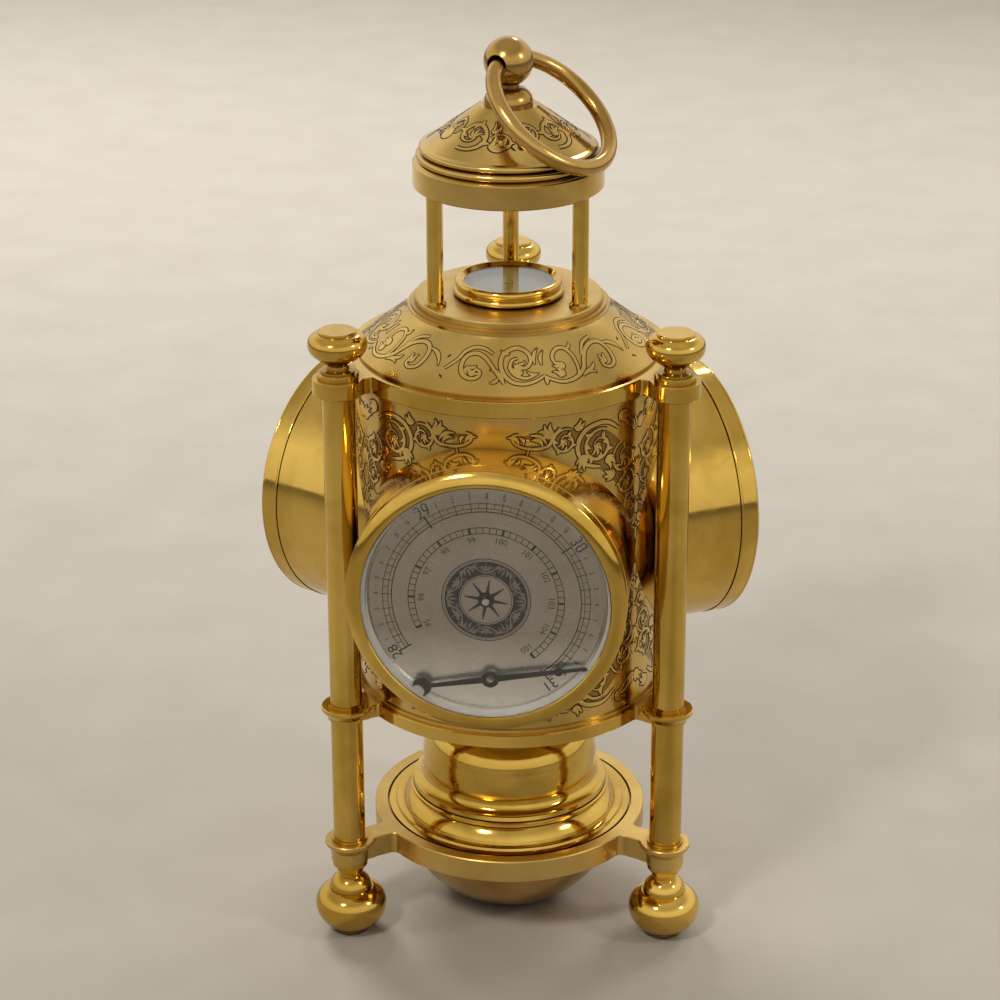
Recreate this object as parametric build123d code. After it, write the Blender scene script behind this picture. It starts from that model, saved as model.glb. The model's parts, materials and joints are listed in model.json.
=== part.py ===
# Weather station clock: a barometer, a clock and a thermometer in three drums on one body, held between
# three plates by three stacks of columns, with a compass in a small cupola on the roof.
# Sizes are in millimetres. The origin is on the vertical axis at the standing surface, +Z up, and the
# barometer faces -Y. Angles are in degrees from the front, counted towards the right.
# A drum's pieces are drawn in the drum's own frame: x to the right of a person who reads the dial, y up,
# z outwards from the vertical axis.

from build123d import *
import os
from math import cos, radians, sin, sqrt, tan

os.makedirs("parts", exist_ok=True)

# Clearances
slip = 0.1
running = 0.06
air = 0.3

# Small rounding or bevel on turned edges
edge = 0.3

# Columns, one stack at each angle, standing in ears of the plates
column_angles = (-60, 60, 180)
column_sides = ("left", "right", "rear")
column_radius = 4.75
column_bead_radius = 5.35
column_bead_height = 0.8
lower_column_length = 40.8
stud_radius = 2.0
stud_reach = 5.5
stud_bore_spare = 0.5

# Feet, as heights that follow one another
foot_radius = 10.7
foot_seat_radius = 5.2
foot_seat_height = 1.8
foot_bulb_base_radius = 6.4
foot_bulb_level = 9.2
foot_bulb_height = 14.4
foot_ring_radius = 6.8
foot_step = 0.5
foot_neck_radius = 3.5
foot_dome_height = 4.6
foot_neck_height = 0.7
foot_cone_height = 2.8
foot_collar_radius = 5.3
foot_collar_height = 1.6

# Plates
plate_edge = 0.25
main_plate_radius = 46.8
middle_plate_thickness = 4.1
top_plate_thickness = 4.8
top_plate_bore = 30.0
main_arm_width = 9.6
main_arm_fillet = 0.9
ear_reach = 7.9
ear_radius = 7.4
ear_rim = 1.2
ear_taper = 2.2
ear_foot_radius = 5.6
lower_plate_radius = 41.35
lower_plate_thickness = 6.8
lower_rim_width = 3.75
lower_ledge_width = 3.6
lower_ledge_depth = 3.3
lower_arm_width = 7.4
lower_arm_fillet = 2.0
seat_step_height = 1.2

# Base bowl
bowl_rim_radius = 36.6
bowl_rim_thickness = 1.4
bowl_rim_width = 3.2
bowl_belly_radius = 25.8
bowl_belly_level = 9.0
bowl_foot_radius = 17.2
bowl_foot_level = 1.9
bowl_wall = 2.4
bowl_floor = 6.5

# Tie bolt
bolt_radius = 3.0
bolt_head_radius = 5.4
bolt_head_height = 3.2
bolt_slot_width = 1.2
bolt_slot_depth = 1.6
bolt_end = 2.0

# Pedestal: dish, flange and vase, with heights above the lower plate
dish_groove_width = 0.6
dish_groove_depth = 1.2
dish_margin = 2.6
dish_bead_height = 0.7
dish_step_inset = 5.2
dish_step_height = 1.7
flange_radius = 30.4
flange_bottom = 5.4
flange_edge = 1.5
flange_groove = 1.1
flange_top = 8.3
waist_radius = 26.0
waist_level = 11.6
belly_swell = 0.5
belly_half_height = 4.4
shoulder_radius = 22.6
shoulder_level = 27.5
vase_neck_radius = 21.8
vase_head_radius = 24.0
vase_head_height = 3.0
vase_bore = 18.0
vase_web = 3.0

# Body shell
shell_inset = 1.8
shell_wall = 1.2
shell_bead = 0.7
shell_bead_height = 1.1
shell_margin = 10.07

# Drums, with distances along a drum's axis counted from the vertical axis
drum_turn = -4.6
drum_sides = {"barometer": 0, "clock": 120, "thermometer": -120}
drum_lift = 0.4
drum_gap = 0.95
barrel_wall = 1.3
barrel_step = 0.3
shell_seat_gap = 0.05
bezel_front = 64.2
bezel_width = 7.0
bezel_bead = 0.15
bezel_bead_width = 0.7
bezel_face_width = 4.35
bezel_face_depth = 1.6
bezel_lip = 0.7
bezel_spigot_length = 5.0
bezel_spigot_wall = 1.2
glass_rim_thickness = 0.9
glass_bevel_width = 1.6
glass_bevel_height = 0.6

# Dials and their cases
dial_depth = 2.7
dial_sheet = 0.6
dial_cone_width = 2.0
case_wall = 1.0
case_lip_width = 2.4
case_lip_depth = 1.0

# Bridges that carry the arbors of the barometer and the thermometer
bridge_thickness = 2.0
bridge_width = 6.0
bridge_post_radius = 3.0
arbor_radius = 1.0
arbor_pivot_radius = 0.7
arbor_tip = 1.6

# Teeth, as shares of the module and of the pitch
tooth_head = 0.8
tooth_root = 1.2
tooth_head_share = 0.10
tooth_root_share = 0.24
gear_thickness = 1.6

# Barometer works
capsule_gap = 1.5
capsule_waist = 3.5
capsule_wafer = 3.2
capsule_rim = 0.8
capsule_post_radius = 3.0
capsule_post_length = 6.0
sector_teeth = 60
sector_kept = 15
barometer_pinion_teeth = 10
barometer_module = 0.5

# The barometer pointer, fallen to the bottom of the dial
pointer_thickness = 0.5
pointer_length = 27.4
pointer_tail = 22.3
pointer_hub_radius = 2.5
pointer_root_width = 1.9
pointer_tip_width = 0.9
pointer_crescent_radius = 2.7
pointer_notch_share = 0.75
pointer_notch_turn = 40.0
pointer_lozenge_place = 19.5
pointer_lozenge_radius = 1.3
pointer_tilt = 9.6

# Clock works
movement_depth = 15.0
movement_wall = 1.2
motion_reach = 12.0
cannon_teeth = 12
minute_wheel_teeth = 36
minute_pinion_teeth = 10
hour_wheel_teeth = 40
gear_layer = 2.6
gear_start = 1.6
bearing_wall = 1.0
hour_pipe_wall = 1.1
hour_hand_lift = 0.6
hand_thickness = 0.4
hand_hub_wall = 1.4
hand_stem_width = 1.2
hand_blade_width = 3.2
hand_tip_width = 0.6
hand_blade_share = 0.7
minute_hand_length = 27.0
hour_hand_length = 18.5
hand_tail = 6.0
minute_hand_angle = 60
hour_hand_angle = 305
knob_radius = 4.5
knob_height = 4.0
battery_radius = 5.9
battery_length = 30.0
battery_place = 12.0
tray_wall = 1.2

# Thermometer works
coil_pitch = 1.9
coil_turns = 5
coil_strip = 0.45
coil_height = 3.0
coil_lift = 1.0
thermometer_tail = 11.4

# Roof, a straight cone with a cove up to a short neck
roof_inset = 2.8
roof_edge = 0.8
roof_slope = 38.0
roof_neck_radius = 29.1
roof_cove = 1.3
roof_neck_height = 0.9
roof_rim_width = 6.0
roof_skin = 2.2
roof_disc = 2.5
roof_screw_inset = 3.8
roof_screw_radius = 1.25
roof_screw_grip = 1.8
roof_screw_head_radius = 2.3
roof_screw_head = 1.5

# Finials, as heights that follow one another
finial_collar_radius = 6.0
finial_collar_height = 1.7
finial_ring_radius = 4.9
finial_ring_height = 0.9
finial_neck_radius = 3.2
finial_neck_height = 1.2
finial_shoulder_radius = 7.0
finial_shoulder_height = 2.9
finial_radius = 8.5
finial_lower_bulb = 6.2
finial_upper_bulb = 3.2
finial_top_radius = 5.4
finial_boss_height = 0.8

# Cupola
cupola_base_inset = 0.9
cupola_base_height = 0.6
cupola_radius = 27.0
cupola_height = 1.9
post_inset = 3.3
post_radius = 2.35
post_length = 32.6
post_foot_radius = 3.1
post_foot_height = 1.4
post_stud_radius = 1.2
post_stud_reach = 4.3
post_top_reach = 3.5

# Compass
compass_gap = 4.6
compass_flange_width = 0.9
compass_flange_height = 2.2
compass_height = 4.7
compass_bezel_swell = 0.4
compass_bezel_height = 2.3
compass_bezel_width = 2.7
compass_wall = 1.2
compass_floor = 1.0
compass_card_thickness = 0.5
compass_glass_drop = 0.9
compass_glass_thickness = 0.7
needle_length = 20.0
needle_width = 2.4
needle_thickness = 0.35
needle_cap_radius = 1.3
needle_cap_height = 0.9
compass_pin_radius = 0.4
compass_pin_foot_radius = 1.2
compass_pin_foot_height = 0.4

# Canopy, heights counted from its lower edge
canopy_radius = 27.2
canopy_band = 6.9
canopy_bead_step = 0.9
canopy_bead_level = 8.7
canopy_upper_bead_level = 10.9
canopy_bead_height = 1.9
canopy_bead_depth = 0.9
canopy_cone_inset = 3.6
canopy_cone_level = 12.1
canopy_slope = 36.0
canopy_top_radius = 8.4
canopy_ring_height = 4.6
canopy_skin = 2.0
canopy_crown = 1.6

# Ball and carrying ring
dome_radius = 6.9
dome_edge = 0.6
dome_height = 4.9
dome_neck_radius = 3.0
dome_neck_height = 0.9
ball_radius = 7.0
ball_stem_radius = 2.0
ball_stem_length = 3.0
ring_radius = 19.6
ring_tube = 2.3
ring_play = 0.15
ring_hole_angle = -30
ring_droop_step = 0.02

# Radii that follow from the main plates
column_circle = main_plate_radius + ear_reach
shell_radius = main_plate_radius - shell_inset
shell_inner = shell_radius - shell_wall
column_clear = column_circle * sin(radians(60 - abs(drum_turn))) - column_radius
bezel_radius = column_clear - drum_gap
barrel_radius = bezel_radius - barrel_step
barrel_bore = barrel_radius - barrel_wall
spigot_radius = barrel_bore - slip
bezel_bore = spigot_radius - bezel_spigot_wall
insert_radius = bezel_bore - slip
bezel_opening_radius = bezel_radius - bezel_face_width
dial_face_radius = bezel_opening_radius - dial_cone_width
roof_radius = main_plate_radius - roof_inset
roof_rim_bore = roof_radius - roof_rim_width
lower_plate_bore = lower_plate_radius - lower_rim_width
ledge_radius = lower_plate_bore - lower_ledge_width
stud_bore = stud_radius + slip
bolt_bore = bolt_radius + slip
post_circle = cupola_radius - post_inset

# Levels from the standing surface upwards
foot_ring_level = foot_bulb_height
foot_neck_bottom = foot_ring_level + foot_dome_height
foot_neck_top = foot_neck_bottom + foot_neck_height
foot_height = foot_neck_top + foot_cone_height + foot_collar_height
lower_plate_bottom = foot_height
lower_plate_top = lower_plate_bottom + lower_plate_thickness
middle_plate_bottom = lower_plate_top + lower_column_length
middle_plate_top = middle_plate_bottom + middle_plate_thickness
upper_column_length = 2 * (barrel_radius + shell_margin)
top_plate_bottom = middle_plate_top + upper_column_length
top_plate_top = top_plate_bottom + top_plate_thickness
drum_height = (middle_plate_top + top_plate_bottom) / 2 + drum_lift
roof_cone_top = top_plate_top + roof_edge + (roof_radius - roof_neck_radius - roof_cove) * tan(radians(roof_slope))
roof_top = roof_cone_top + roof_cove + roof_neck_height
cupola_top = roof_top + cupola_base_height + cupola_height
canopy_bottom = cupola_top + post_length
canopy_cone_radius = canopy_radius - canopy_cone_inset
canopy_cone_rise = (canopy_cone_radius - canopy_top_radius) * tan(radians(canopy_slope))
canopy_top = canopy_bottom + canopy_cone_level + canopy_cone_rise
dome_top = canopy_top + dome_height
ball_height = dome_top + dome_neck_height + sqrt(ball_radius**2 - dome_neck_radius**2)

# Places along a drum's axis
barrel_end = bezel_front - bezel_width - air
glass_rim_front = bezel_front - bezel_lip
glass_back = glass_rim_front - glass_rim_thickness
glass_front = glass_rim_front + glass_bevel_height
dial_face = glass_back - dial_depth
dial_back = dial_face - dial_sheet
movement_back = dial_back - movement_depth
case_back = movement_back - slip - 2 * battery_radius - air - case_wall
case_floor = case_back + case_wall
bridge_bottom = case_floor + capsule_post_length + 2 * capsule_wafer + air
bridge_top = bridge_bottom + bridge_thickness
gear_floor = bridge_top + air
pointer_back = dial_face + arbor_tip + air
bridge_reach = barometer_module * (barometer_pinion_teeth + sector_teeth) / 2


def polar(angle, radius, height=0.0):
    """Point at an angle from the front."""
    turn = radians(angle)
    return (radius * sin(turn), -radius * cos(turn), height)


def turned(*curves):
    """Solid turned about the z axis from a closed outline of (radius, height) curves."""
    outline = Curve() + list(curves)
    return revolve(Plane.XZ * make_face(outline.edges()), Axis.Z)


def disc(radius, bottom, top, bore=0.0):
    """Disc or tube on the z axis."""
    solid = Pos(0, 0, bottom) * Cylinder(radius, top - bottom, align=(Align.CENTER, Align.CENTER, Align.MIN))
    if bore:
        solid -= Pos(0, 0, bottom) * Cylinder(bore, top - bottom, align=(Align.CENTER, Align.CENTER, Align.MIN))
    return solid


def block(width, depth, bottom, top):
    """Box centred on the z axis."""
    return Pos(0, 0, bottom) * Box(width, depth, top - bottom, align=(Align.CENTER, Align.CENTER, Align.MIN))


def bulge(low, wide, high):
    """Two arcs from low to high that meet upright at the widest point."""
    return TangentArc(wide, low, tangent=(0, -1)), TangentArc(wide, high, tangent=(0, 1))


def bead(radius, level, height, depth):
    """Rounded ring around a turned piece, widest at the level."""
    foot_point = (radius - depth, level - height / 2)
    head_point = (radius - depth, level + height / 2)
    return ThreePointArc(foot_point, (radius, level), head_point)


def at_angles(angles, circle, piece):
    """Copies of a piece of the vertical axis, spread on a circle."""
    return [Pos(*polar(angle, circle)) * piece for angle in angles]


def bored(solid, angles, circle, bore):
    """The solid with a bore at each angle."""
    for tool in at_angles(angles, circle, bore):
        solid -= tool
    return solid


def save(name, piece):
    piece.label = name
    export_step(piece, f"parts/{name}.step")


# Feet, columns and finials


def foot():
    collar_bottom = foot_height - foot_collar_height
    bulb_base = (foot_bulb_base_radius, foot_seat_height)
    low, high = bulge(bulb_base, (foot_radius, foot_bulb_level), (foot_ring_radius, foot_ring_level))
    dome_base = (foot_ring_radius - foot_step, foot_ring_level)
    step = Line((foot_ring_radius, foot_ring_level), dome_base)
    dome = TangentArc(dome_base, (foot_neck_radius, foot_neck_bottom), tangent=(0, 1))
    upper = Polyline(
        (foot_neck_radius, foot_neck_bottom),
        (foot_neck_radius, foot_neck_top),
        (foot_collar_radius, collar_bottom),
        (foot_collar_radius, foot_height),
        (0, foot_height),
        (0, 0),
        (foot_seat_radius, 0),
        (foot_seat_radius, foot_seat_height),
        bulb_base,
    )
    return turned(low, high, step, dome, upper) + disc(stud_radius, foot_height, lower_plate_top + stud_reach)


def column(bottom, top, plate_above):
    """Column with a bore for the stud from below and a stud through the plate above it."""
    solid = disc(column_radius, bottom, top) + disc(column_bead_radius, bottom, bottom + column_bead_height)
    solid += disc(stud_radius, top, plate_above + stud_reach)
    return solid - disc(stud_bore, bottom, bottom + stud_reach + stud_bore_spare)


def finial():
    base = top_plate_top
    collar_top = base + finial_collar_height
    ring_top = collar_top + finial_ring_height
    neck_top = ring_top + finial_neck_height
    widest = neck_top + finial_lower_bulb
    top = widest + finial_upper_bulb
    shoulder = (finial_shoulder_radius, neck_top + finial_shoulder_height)
    low, high = bulge(shoulder, (finial_radius, widest), (finial_top_radius, top))
    outline = Polyline(
        (finial_top_radius, top),
        (finial_top_radius, top + finial_boss_height - edge),
        (finial_top_radius - edge, top + finial_boss_height),
        (0, top + finial_boss_height),
        (0, base),
        (finial_collar_radius, base),
        (finial_collar_radius, collar_top - edge),
        (finial_collar_radius - edge, collar_top),
        (finial_ring_radius, collar_top),
        (finial_ring_radius, ring_top - edge),
        (finial_neck_radius, ring_top),
        (finial_neck_radius, neck_top),
        shoulder,
    )
    return turned(low, high, outline) - disc(stud_bore, base, base + stud_reach + stud_bore_spare)


# Plates


def plate_outline(radius, arm_width, arm_fillet, tip_radius):
    """Circle with an arm and a round tip at each column."""
    half = arm_width / 2
    sketch = Circle(radius)
    for angle in column_angles:
        sketch += Pos(*polar(angle, column_circle)) * Circle(tip_radius)
        sketch += Rot(0, 0, angle) * Pos(0, -column_circle / 2) * Rectangle(arm_width, column_circle)
    free_arm = column_circle - sqrt(tip_radius**2 - half**2) - sqrt(radius**2 - half**2)

    def on_arm_side(corner):
        turns = [radians(angle) for angle in column_angles]
        across = [abs(corner.X * cos(turn) + corner.Y * sin(turn)) for turn in turns]
        return min(abs(offset - half) for offset in across) < slip

    corners = ShapeList(corner for corner in sketch.vertices() if on_arm_side(corner))
    return fillet(corners, min(arm_fillet, free_arm / 3))


def eared_plate(radius, arm_width, arm_fillet, bottom, top):
    """Round plate with an arm and an ear at each column, bored for the studs."""
    sketch = plate_outline(radius, arm_width, arm_fillet, ear_radius)
    solid = Pos(0, 0, bottom) * extrude(sketch, top - bottom)
    levels = solid.edges().group_by(Axis.Z)
    solid = chamfer(levels[0] + levels[-1], plate_edge)
    return bored(solid, column_angles, column_circle, disc(stud_bore, bottom, top))


def flared(plate, arm_width, bottom, top):
    """The plate with its ears narrowed below their rims, clear of the arms."""
    rim_bottom = top - ear_rim
    taper_bottom = rim_bottom - ear_taper
    beyond = ear_radius + ear_rim
    waste = turned(Polyline(
        (ear_radius, rim_bottom),
        (ear_foot_radius, taper_bottom),
        (ear_foot_radius, bottom - ear_rim),
        (beyond, bottom - ear_rim),
        (beyond, rim_bottom),
        (ear_radius, rim_bottom),
    ))
    kept = Pos(0, beyond / 2 + slip, (bottom + top) / 2) * Box(arm_width, beyond + slip, top - bottom)
    for angle in column_angles:
        plate -= Pos(*polar(angle, column_circle)) * (Rot(0, 0, angle) * (waste - kept))
    return plate


def lower_plate():
    solid = eared_plate(lower_plate_radius, lower_arm_width, lower_arm_fillet, lower_plate_bottom, lower_plate_top)
    solid = flared(solid, lower_arm_width, lower_plate_bottom, lower_plate_top)
    solid -= disc(ledge_radius, lower_plate_bottom, lower_plate_top)
    return solid - disc(lower_plate_bore, lower_plate_top - lower_ledge_depth, lower_plate_top)


def middle_plate():
    """Plate with a step inside the shell and a threaded middle for the bolt."""
    solid = eared_plate(main_plate_radius, main_arm_width, main_arm_fillet, middle_plate_bottom, middle_plate_top)
    solid = flared(solid, main_arm_width, middle_plate_bottom, middle_plate_top)
    step_top = middle_plate_top + seat_step_height
    solid += disc(shell_inner - slip, middle_plate_top, step_top)
    return solid - disc(bolt_bore, middle_plate_bottom, step_top)


def top_plate():
    """Plate with a stepped ring inside the shell and holes for the roof's screws."""
    solid = eared_plate(main_plate_radius, main_arm_width, main_arm_fillet, top_plate_bottom, top_plate_top)
    step_bottom = top_plate_bottom - seat_step_height
    solid += disc(shell_inner - slip, step_bottom, top_plate_bottom, roof_rim_bore)
    solid -= disc(top_plate_bore, top_plate_bottom, top_plate_top)
    return bored(solid, screw_angles, screw_circle, disc(roof_screw_radius + slip, step_bottom, top_plate_top))


# Bowl, bolt and pedestal


def base_bowl():
    """Bowl that hangs in the lower plate, with a recess underneath for the head of the bolt."""
    rim_bottom = lower_plate_bottom - bowl_rim_thickness
    dish_bottom = lower_plate_top - lower_ledge_depth
    bowl_radius = bowl_rim_radius - bowl_rim_width
    spigot = ledge_radius - slip
    floor_top = bowl_foot_level + bowl_floor
    outside = ThreePointArc(
        (bowl_foot_radius, bowl_foot_level),
        (bowl_belly_radius, bowl_belly_level),
        (bowl_radius, rim_bottom),
    )
    outline = Polyline(
        (bowl_radius, rim_bottom),
        (bowl_rim_radius, rim_bottom),
        (bowl_rim_radius, lower_plate_bottom),
        (spigot, lower_plate_bottom),
        (spigot, dish_bottom),
        (0, dish_bottom),
        (0, bowl_foot_level),
        (bowl_foot_radius, bowl_foot_level),
    )
    inside = Line((bowl_foot_radius, floor_top), (bowl_radius - bowl_wall, rim_bottom))
    inside_outline = Polyline(
        (bowl_radius - bowl_wall, rim_bottom),
        (0, rim_bottom),
        (0, floor_top),
        (bowl_foot_radius, floor_top),
    )
    solid = turned(outside, outline) - turned(inside, inside_outline)
    solid -= disc(min(bowl_radius, spigot) - bowl_wall, rim_bottom, lower_plate_bottom)
    solid -= disc(spigot - bowl_wall, lower_plate_bottom, dish_bottom)
    solid -= disc(bolt_bore, bowl_foot_level, floor_top)
    return solid - disc(bolt_head_radius + slip, bowl_foot_level, bowl_foot_level + bolt_head_height)


def tie_bolt():
    head_top = bowl_foot_level + bolt_head_height
    head = disc(bolt_head_radius, bowl_foot_level, head_top)
    head -= block(2 * bolt_head_radius, bolt_slot_width, bowl_foot_level, bowl_foot_level + bolt_slot_depth)
    return head + disc(bolt_radius, head_top, middle_plate_top + seat_step_height + bolt_end)


def pedestal():
    """Turned dish, flange and vase in one piece, seated on the ledge of the lower plate."""
    zero = lower_plate_top
    seat = zero - lower_ledge_depth
    top = middle_plate_bottom
    dish_radius = lower_plate_bore - slip
    dish_step_radius = dish_radius - dish_step_inset
    groove_radius = flange_radius - flange_groove
    edge_top = zero + flange_bottom + flange_edge
    belly_middle = zero + waist_level + belly_half_height
    belly_top = belly_middle + belly_half_height
    dish = Polyline(
        (0, seat),
        (dish_radius, seat),
        (dish_radius, zero - dish_groove_depth),
        (dish_radius - dish_groove_width, zero - dish_groove_depth),
        (dish_radius - dish_groove_width, zero),
        (dish_radius - dish_margin, zero),
        (dish_radius - dish_margin - edge, zero + dish_bead_height),
        (dish_step_radius + edge, zero + dish_bead_height),
        (dish_step_radius, zero + dish_step_height),
    )
    cove = RadiusArc(
        (dish_step_radius, zero + dish_step_height), (groove_radius, zero + flange_bottom), -2 * flange_bottom
    )
    flange = Polyline(
        (groove_radius, zero + flange_bottom),
        (flange_radius - edge, zero + flange_bottom),
        (flange_radius, zero + flange_bottom + edge),
        (flange_radius, edge_top - edge),
        (flange_radius - edge, edge_top),
        (groove_radius, edge_top),
        (groove_radius, edge_top + edge),
        (groove_radius + edge, edge_top + edge),
        (groove_radius, zero + flange_top),
    )
    waist = (waist_radius, zero + waist_level)
    waist_top = (waist_radius, belly_top)
    shoulder_point = (shoulder_radius, zero + shoulder_level)
    flare = TangentArc(waist, (groove_radius, zero + flange_top), tangent=(0, -1))
    belly = ThreePointArc(waist, (waist_radius + belly_swell, belly_middle), waist_top)
    shoulder = TangentArc(waist_top, shoulder_point, tangent=(0, 1))
    neck = Polyline(
        shoulder_point,
        (vase_neck_radius, zero + shoulder_level),
        (vase_neck_radius, top - vase_head_height),
        (vase_head_radius, top - vase_head_height / 2),
        (vase_head_radius, top),
        (0, top),
        (0, seat),
    )
    solid = turned(dish, cove, flange, flare, belly, shoulder, neck)
    solid -= disc(vase_bore, seat + vase_web, top)
    return solid - disc(bolt_bore, seat, top)


# Body shell and drums


def drum_frame(side):
    """Frame of a drum: x to the reader's right, y up, z outwards along the drum's axis."""
    angle = drum_turn + drum_sides[side]
    turn = radians(angle)
    return Plane(origin=(0, 0, drum_height), x_dir=(cos(turn), sin(turn), 0), z_dir=polar(angle, 1))


def body_shell():
    solid = disc(shell_radius, middle_plate_top, top_plate_bottom)
    for bottom in (middle_plate_top, top_plate_bottom - shell_bead_height):
        solid += disc(shell_radius + shell_bead, bottom, bottom + shell_bead_height)
    solid -= disc(shell_inner, middle_plate_top, top_plate_bottom)
    for side in drum_sides:
        solid -= drum_frame(side) * disc(barrel_bore, 0, barrel_end)
    return solid


def drum(side):
    """Barrel saddled on the shell."""
    barrel = drum_frame(side) * disc(barrel_radius, 0, barrel_end, barrel_bore)
    return barrel - disc(shell_radius + shell_seat_gap, middle_plate_top, top_plate_bottom)


def bezel():
    """Ring with a bead at its back, a rounded face and a spigot that slides in the barrel."""
    back = bezel_front - bezel_width
    band = bezel_radius - bezel_bead
    back_bead = bead(bezel_radius, back + bezel_bead_width / 2, bezel_bead_width, bezel_bead)
    front_bead_level = bezel_front - bezel_face_depth - bezel_bead_width / 2
    front_bead = bead(bezel_radius, front_bead_level, bezel_bead_width, bezel_bead)
    face_start = (band, bezel_front - bezel_face_depth)
    face = TangentArc((bezel_opening_radius + edge, bezel_front), face_start, tangent=(1, 0))
    side_line = Line((band, back + bezel_bead_width), (band, front_bead_level - bezel_bead_width / 2))
    inside = Polyline(
        (bezel_opening_radius + edge, bezel_front),
        (bezel_opening_radius, bezel_front - edge),
        (bezel_opening_radius, glass_rim_front),
        (bezel_bore, glass_rim_front),
        (bezel_bore, back - bezel_spigot_length),
        (spigot_radius, back - bezel_spigot_length),
        (spigot_radius, back),
        (band, back),
    )
    return turned(back_bead, side_line, front_bead, face, inside)


def dial_glass():
    """Glass with a thin rim behind the bezel's lip and a bevelled front."""
    bevel_foot = bezel_opening_radius - slip
    return turned(
        Polyline(
            (0, glass_back),
            (insert_radius, glass_back),
            (insert_radius, glass_rim_front),
            (bevel_foot, glass_rim_front),
            (bevel_foot - glass_bevel_width, glass_front),
            (0, glass_front),
            (0, glass_back),
        )
    )


def dial(centre_bore):
    """Pressed sheet: a flat face, a cone towards the glass and a rim under the bezel."""
    lean = dial_cone_width / dial_depth
    rim_back = glass_back - dial_sheet
    cone_back = dial_face_radius + dial_sheet * sqrt(1 + lean**2)
    return turned(
        Polyline(
            (centre_bore, dial_back),
            (centre_bore, dial_face),
            (dial_face_radius, dial_face),
            (bezel_opening_radius, glass_back),
            (insert_radius, glass_back),
            (insert_radius, rim_back),
            (cone_back + lean * (rim_back - dial_face), rim_back),
            (cone_back - lean * dial_sheet, dial_back),
            (centre_bore, dial_back),
        )
    )


def case():
    """Cup behind a dial, with a lip that the dial lies on."""
    lip_back = dial_back - case_lip_depth
    lip_bore = insert_radius - case_wall - case_lip_width
    solid = disc(insert_radius, case_back, dial_back) - disc(insert_radius - case_wall, case_floor, lip_back)
    return solid - disc(lip_bore, lip_back, dial_back)


def bridge():
    """Bar on two posts inside a case, bored for the arbor at its middle."""
    bar = block(2 * bridge_reach, bridge_width, bridge_bottom, bridge_top)
    for across in (-bridge_reach, bridge_reach):
        bar += Pos(across, 0, 0) * disc(bridge_post_radius, case_floor, bridge_top)
    return bar - disc(arbor_pivot_radius + running, bridge_bottom, bridge_top)


# Gears and pointers


def gear(teeth, module, bottom, first_tooth, kept=0):
    """Straight-sided teeth from the first one's angle on; with kept given, a sector of so many teeth."""
    pitch_radius = teeth * module / 2
    head = pitch_radius + tooth_head * module
    root = pitch_radius - tooth_root * module
    step = 360 / teeth
    points = []
    for index in range(kept or teeth):
        middle = first_tooth + index * step
        corners = (
            (root, -tooth_root_share), (head, -tooth_head_share), (head, tooth_head_share), (root, tooth_root_share)
        )
        for radius, share in corners:
            turn = radians(middle + share * step)
            points.append((radius * cos(turn), radius * sin(turn)))
    if kept:
        points.append((0, 0))
    face = make_face(Polyline(*points, close=True).edges())
    return Pos(0, 0, bottom) * extrude(face, gear_thickness)


def pointer_blade(tail, bottom):
    """Pointer along +x with a round hub, a small round lozenge and an open crescent for a tail."""
    crescent = -tail + pointer_crescent_radius
    arm = Polyline(
        (0, -pointer_root_width / 2),
        (pointer_length, -pointer_tip_width / 2),
        (pointer_length, pointer_tip_width / 2),
        (0, pointer_root_width / 2),
        (crescent, pointer_tip_width / 2),
        (crescent, -pointer_tip_width / 2),
        close=True,
    )
    sketch = make_face(arm.edges()) + Circle(pointer_hub_radius)
    sketch += Pos(pointer_lozenge_place, 0) * Circle(pointer_lozenge_radius)
    sketch += Pos(crescent, 0) * Circle(pointer_crescent_radius)
    notch_radius = pointer_notch_share * pointer_crescent_radius
    sketch -= Pos(crescent, 0) * Rot(0, 0, pointer_notch_turn) * Pos(-notch_radius, 0) * Circle(notch_radius)
    return Pos(0, 0, bottom) * extrude(sketch, pointer_thickness)


# Barometer works


def barometer_case():
    pivot_bore = disc(arbor_radius + running, case_floor, bridge_top)
    return case() + bridge() - Pos(-bridge_reach, 0, 0) * pivot_bore


def barometer_capsule():
    """Two wafers with sharp rims on a short post, just under the bridge."""
    radius = bridge_reach - bridge_post_radius - capsule_gap
    bottom = case_floor + capsule_post_length
    solid = disc(capsule_post_radius, case_floor, bottom)
    for start in (bottom, bottom + capsule_wafer):
        middle = start + capsule_wafer / 2
        wafer = Polyline(
            (0, start),
            (radius - capsule_waist, start),
            (radius, middle - capsule_rim / 2),
            (radius, middle + capsule_rim / 2),
            (radius - capsule_waist, start + capsule_wafer),
            (0, start + capsule_wafer),
            (0, start),
        )
        solid += turned(wafer)
    return solid


def barometer_arbor():
    """Arbor with its pinion, its lower pivot in the bridge and its tip in front of the dial."""
    first_tooth = 180 + 180 / barometer_pinion_teeth
    solid = disc(arbor_pivot_radius, bridge_bottom, gear_floor)
    solid += gear(barometer_pinion_teeth, barometer_module, gear_floor, first_tooth)
    return solid + disc(arbor_radius, gear_floor + gear_thickness, dial_face + arbor_tip)


def barometer_sector():
    """Toothed sector on a pivot in the left post of the bridge."""
    first_tooth = -(sector_kept - 1) / 2 * 360 / sector_teeth
    solid = gear(sector_teeth, barometer_module, gear_floor, first_tooth, sector_kept)
    solid += disc(bridge_post_radius, gear_floor, gear_floor + gear_thickness)
    solid += disc(arbor_radius, case_floor + air, gear_floor)
    return Pos(-bridge_reach, 0, 0) * solid


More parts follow.
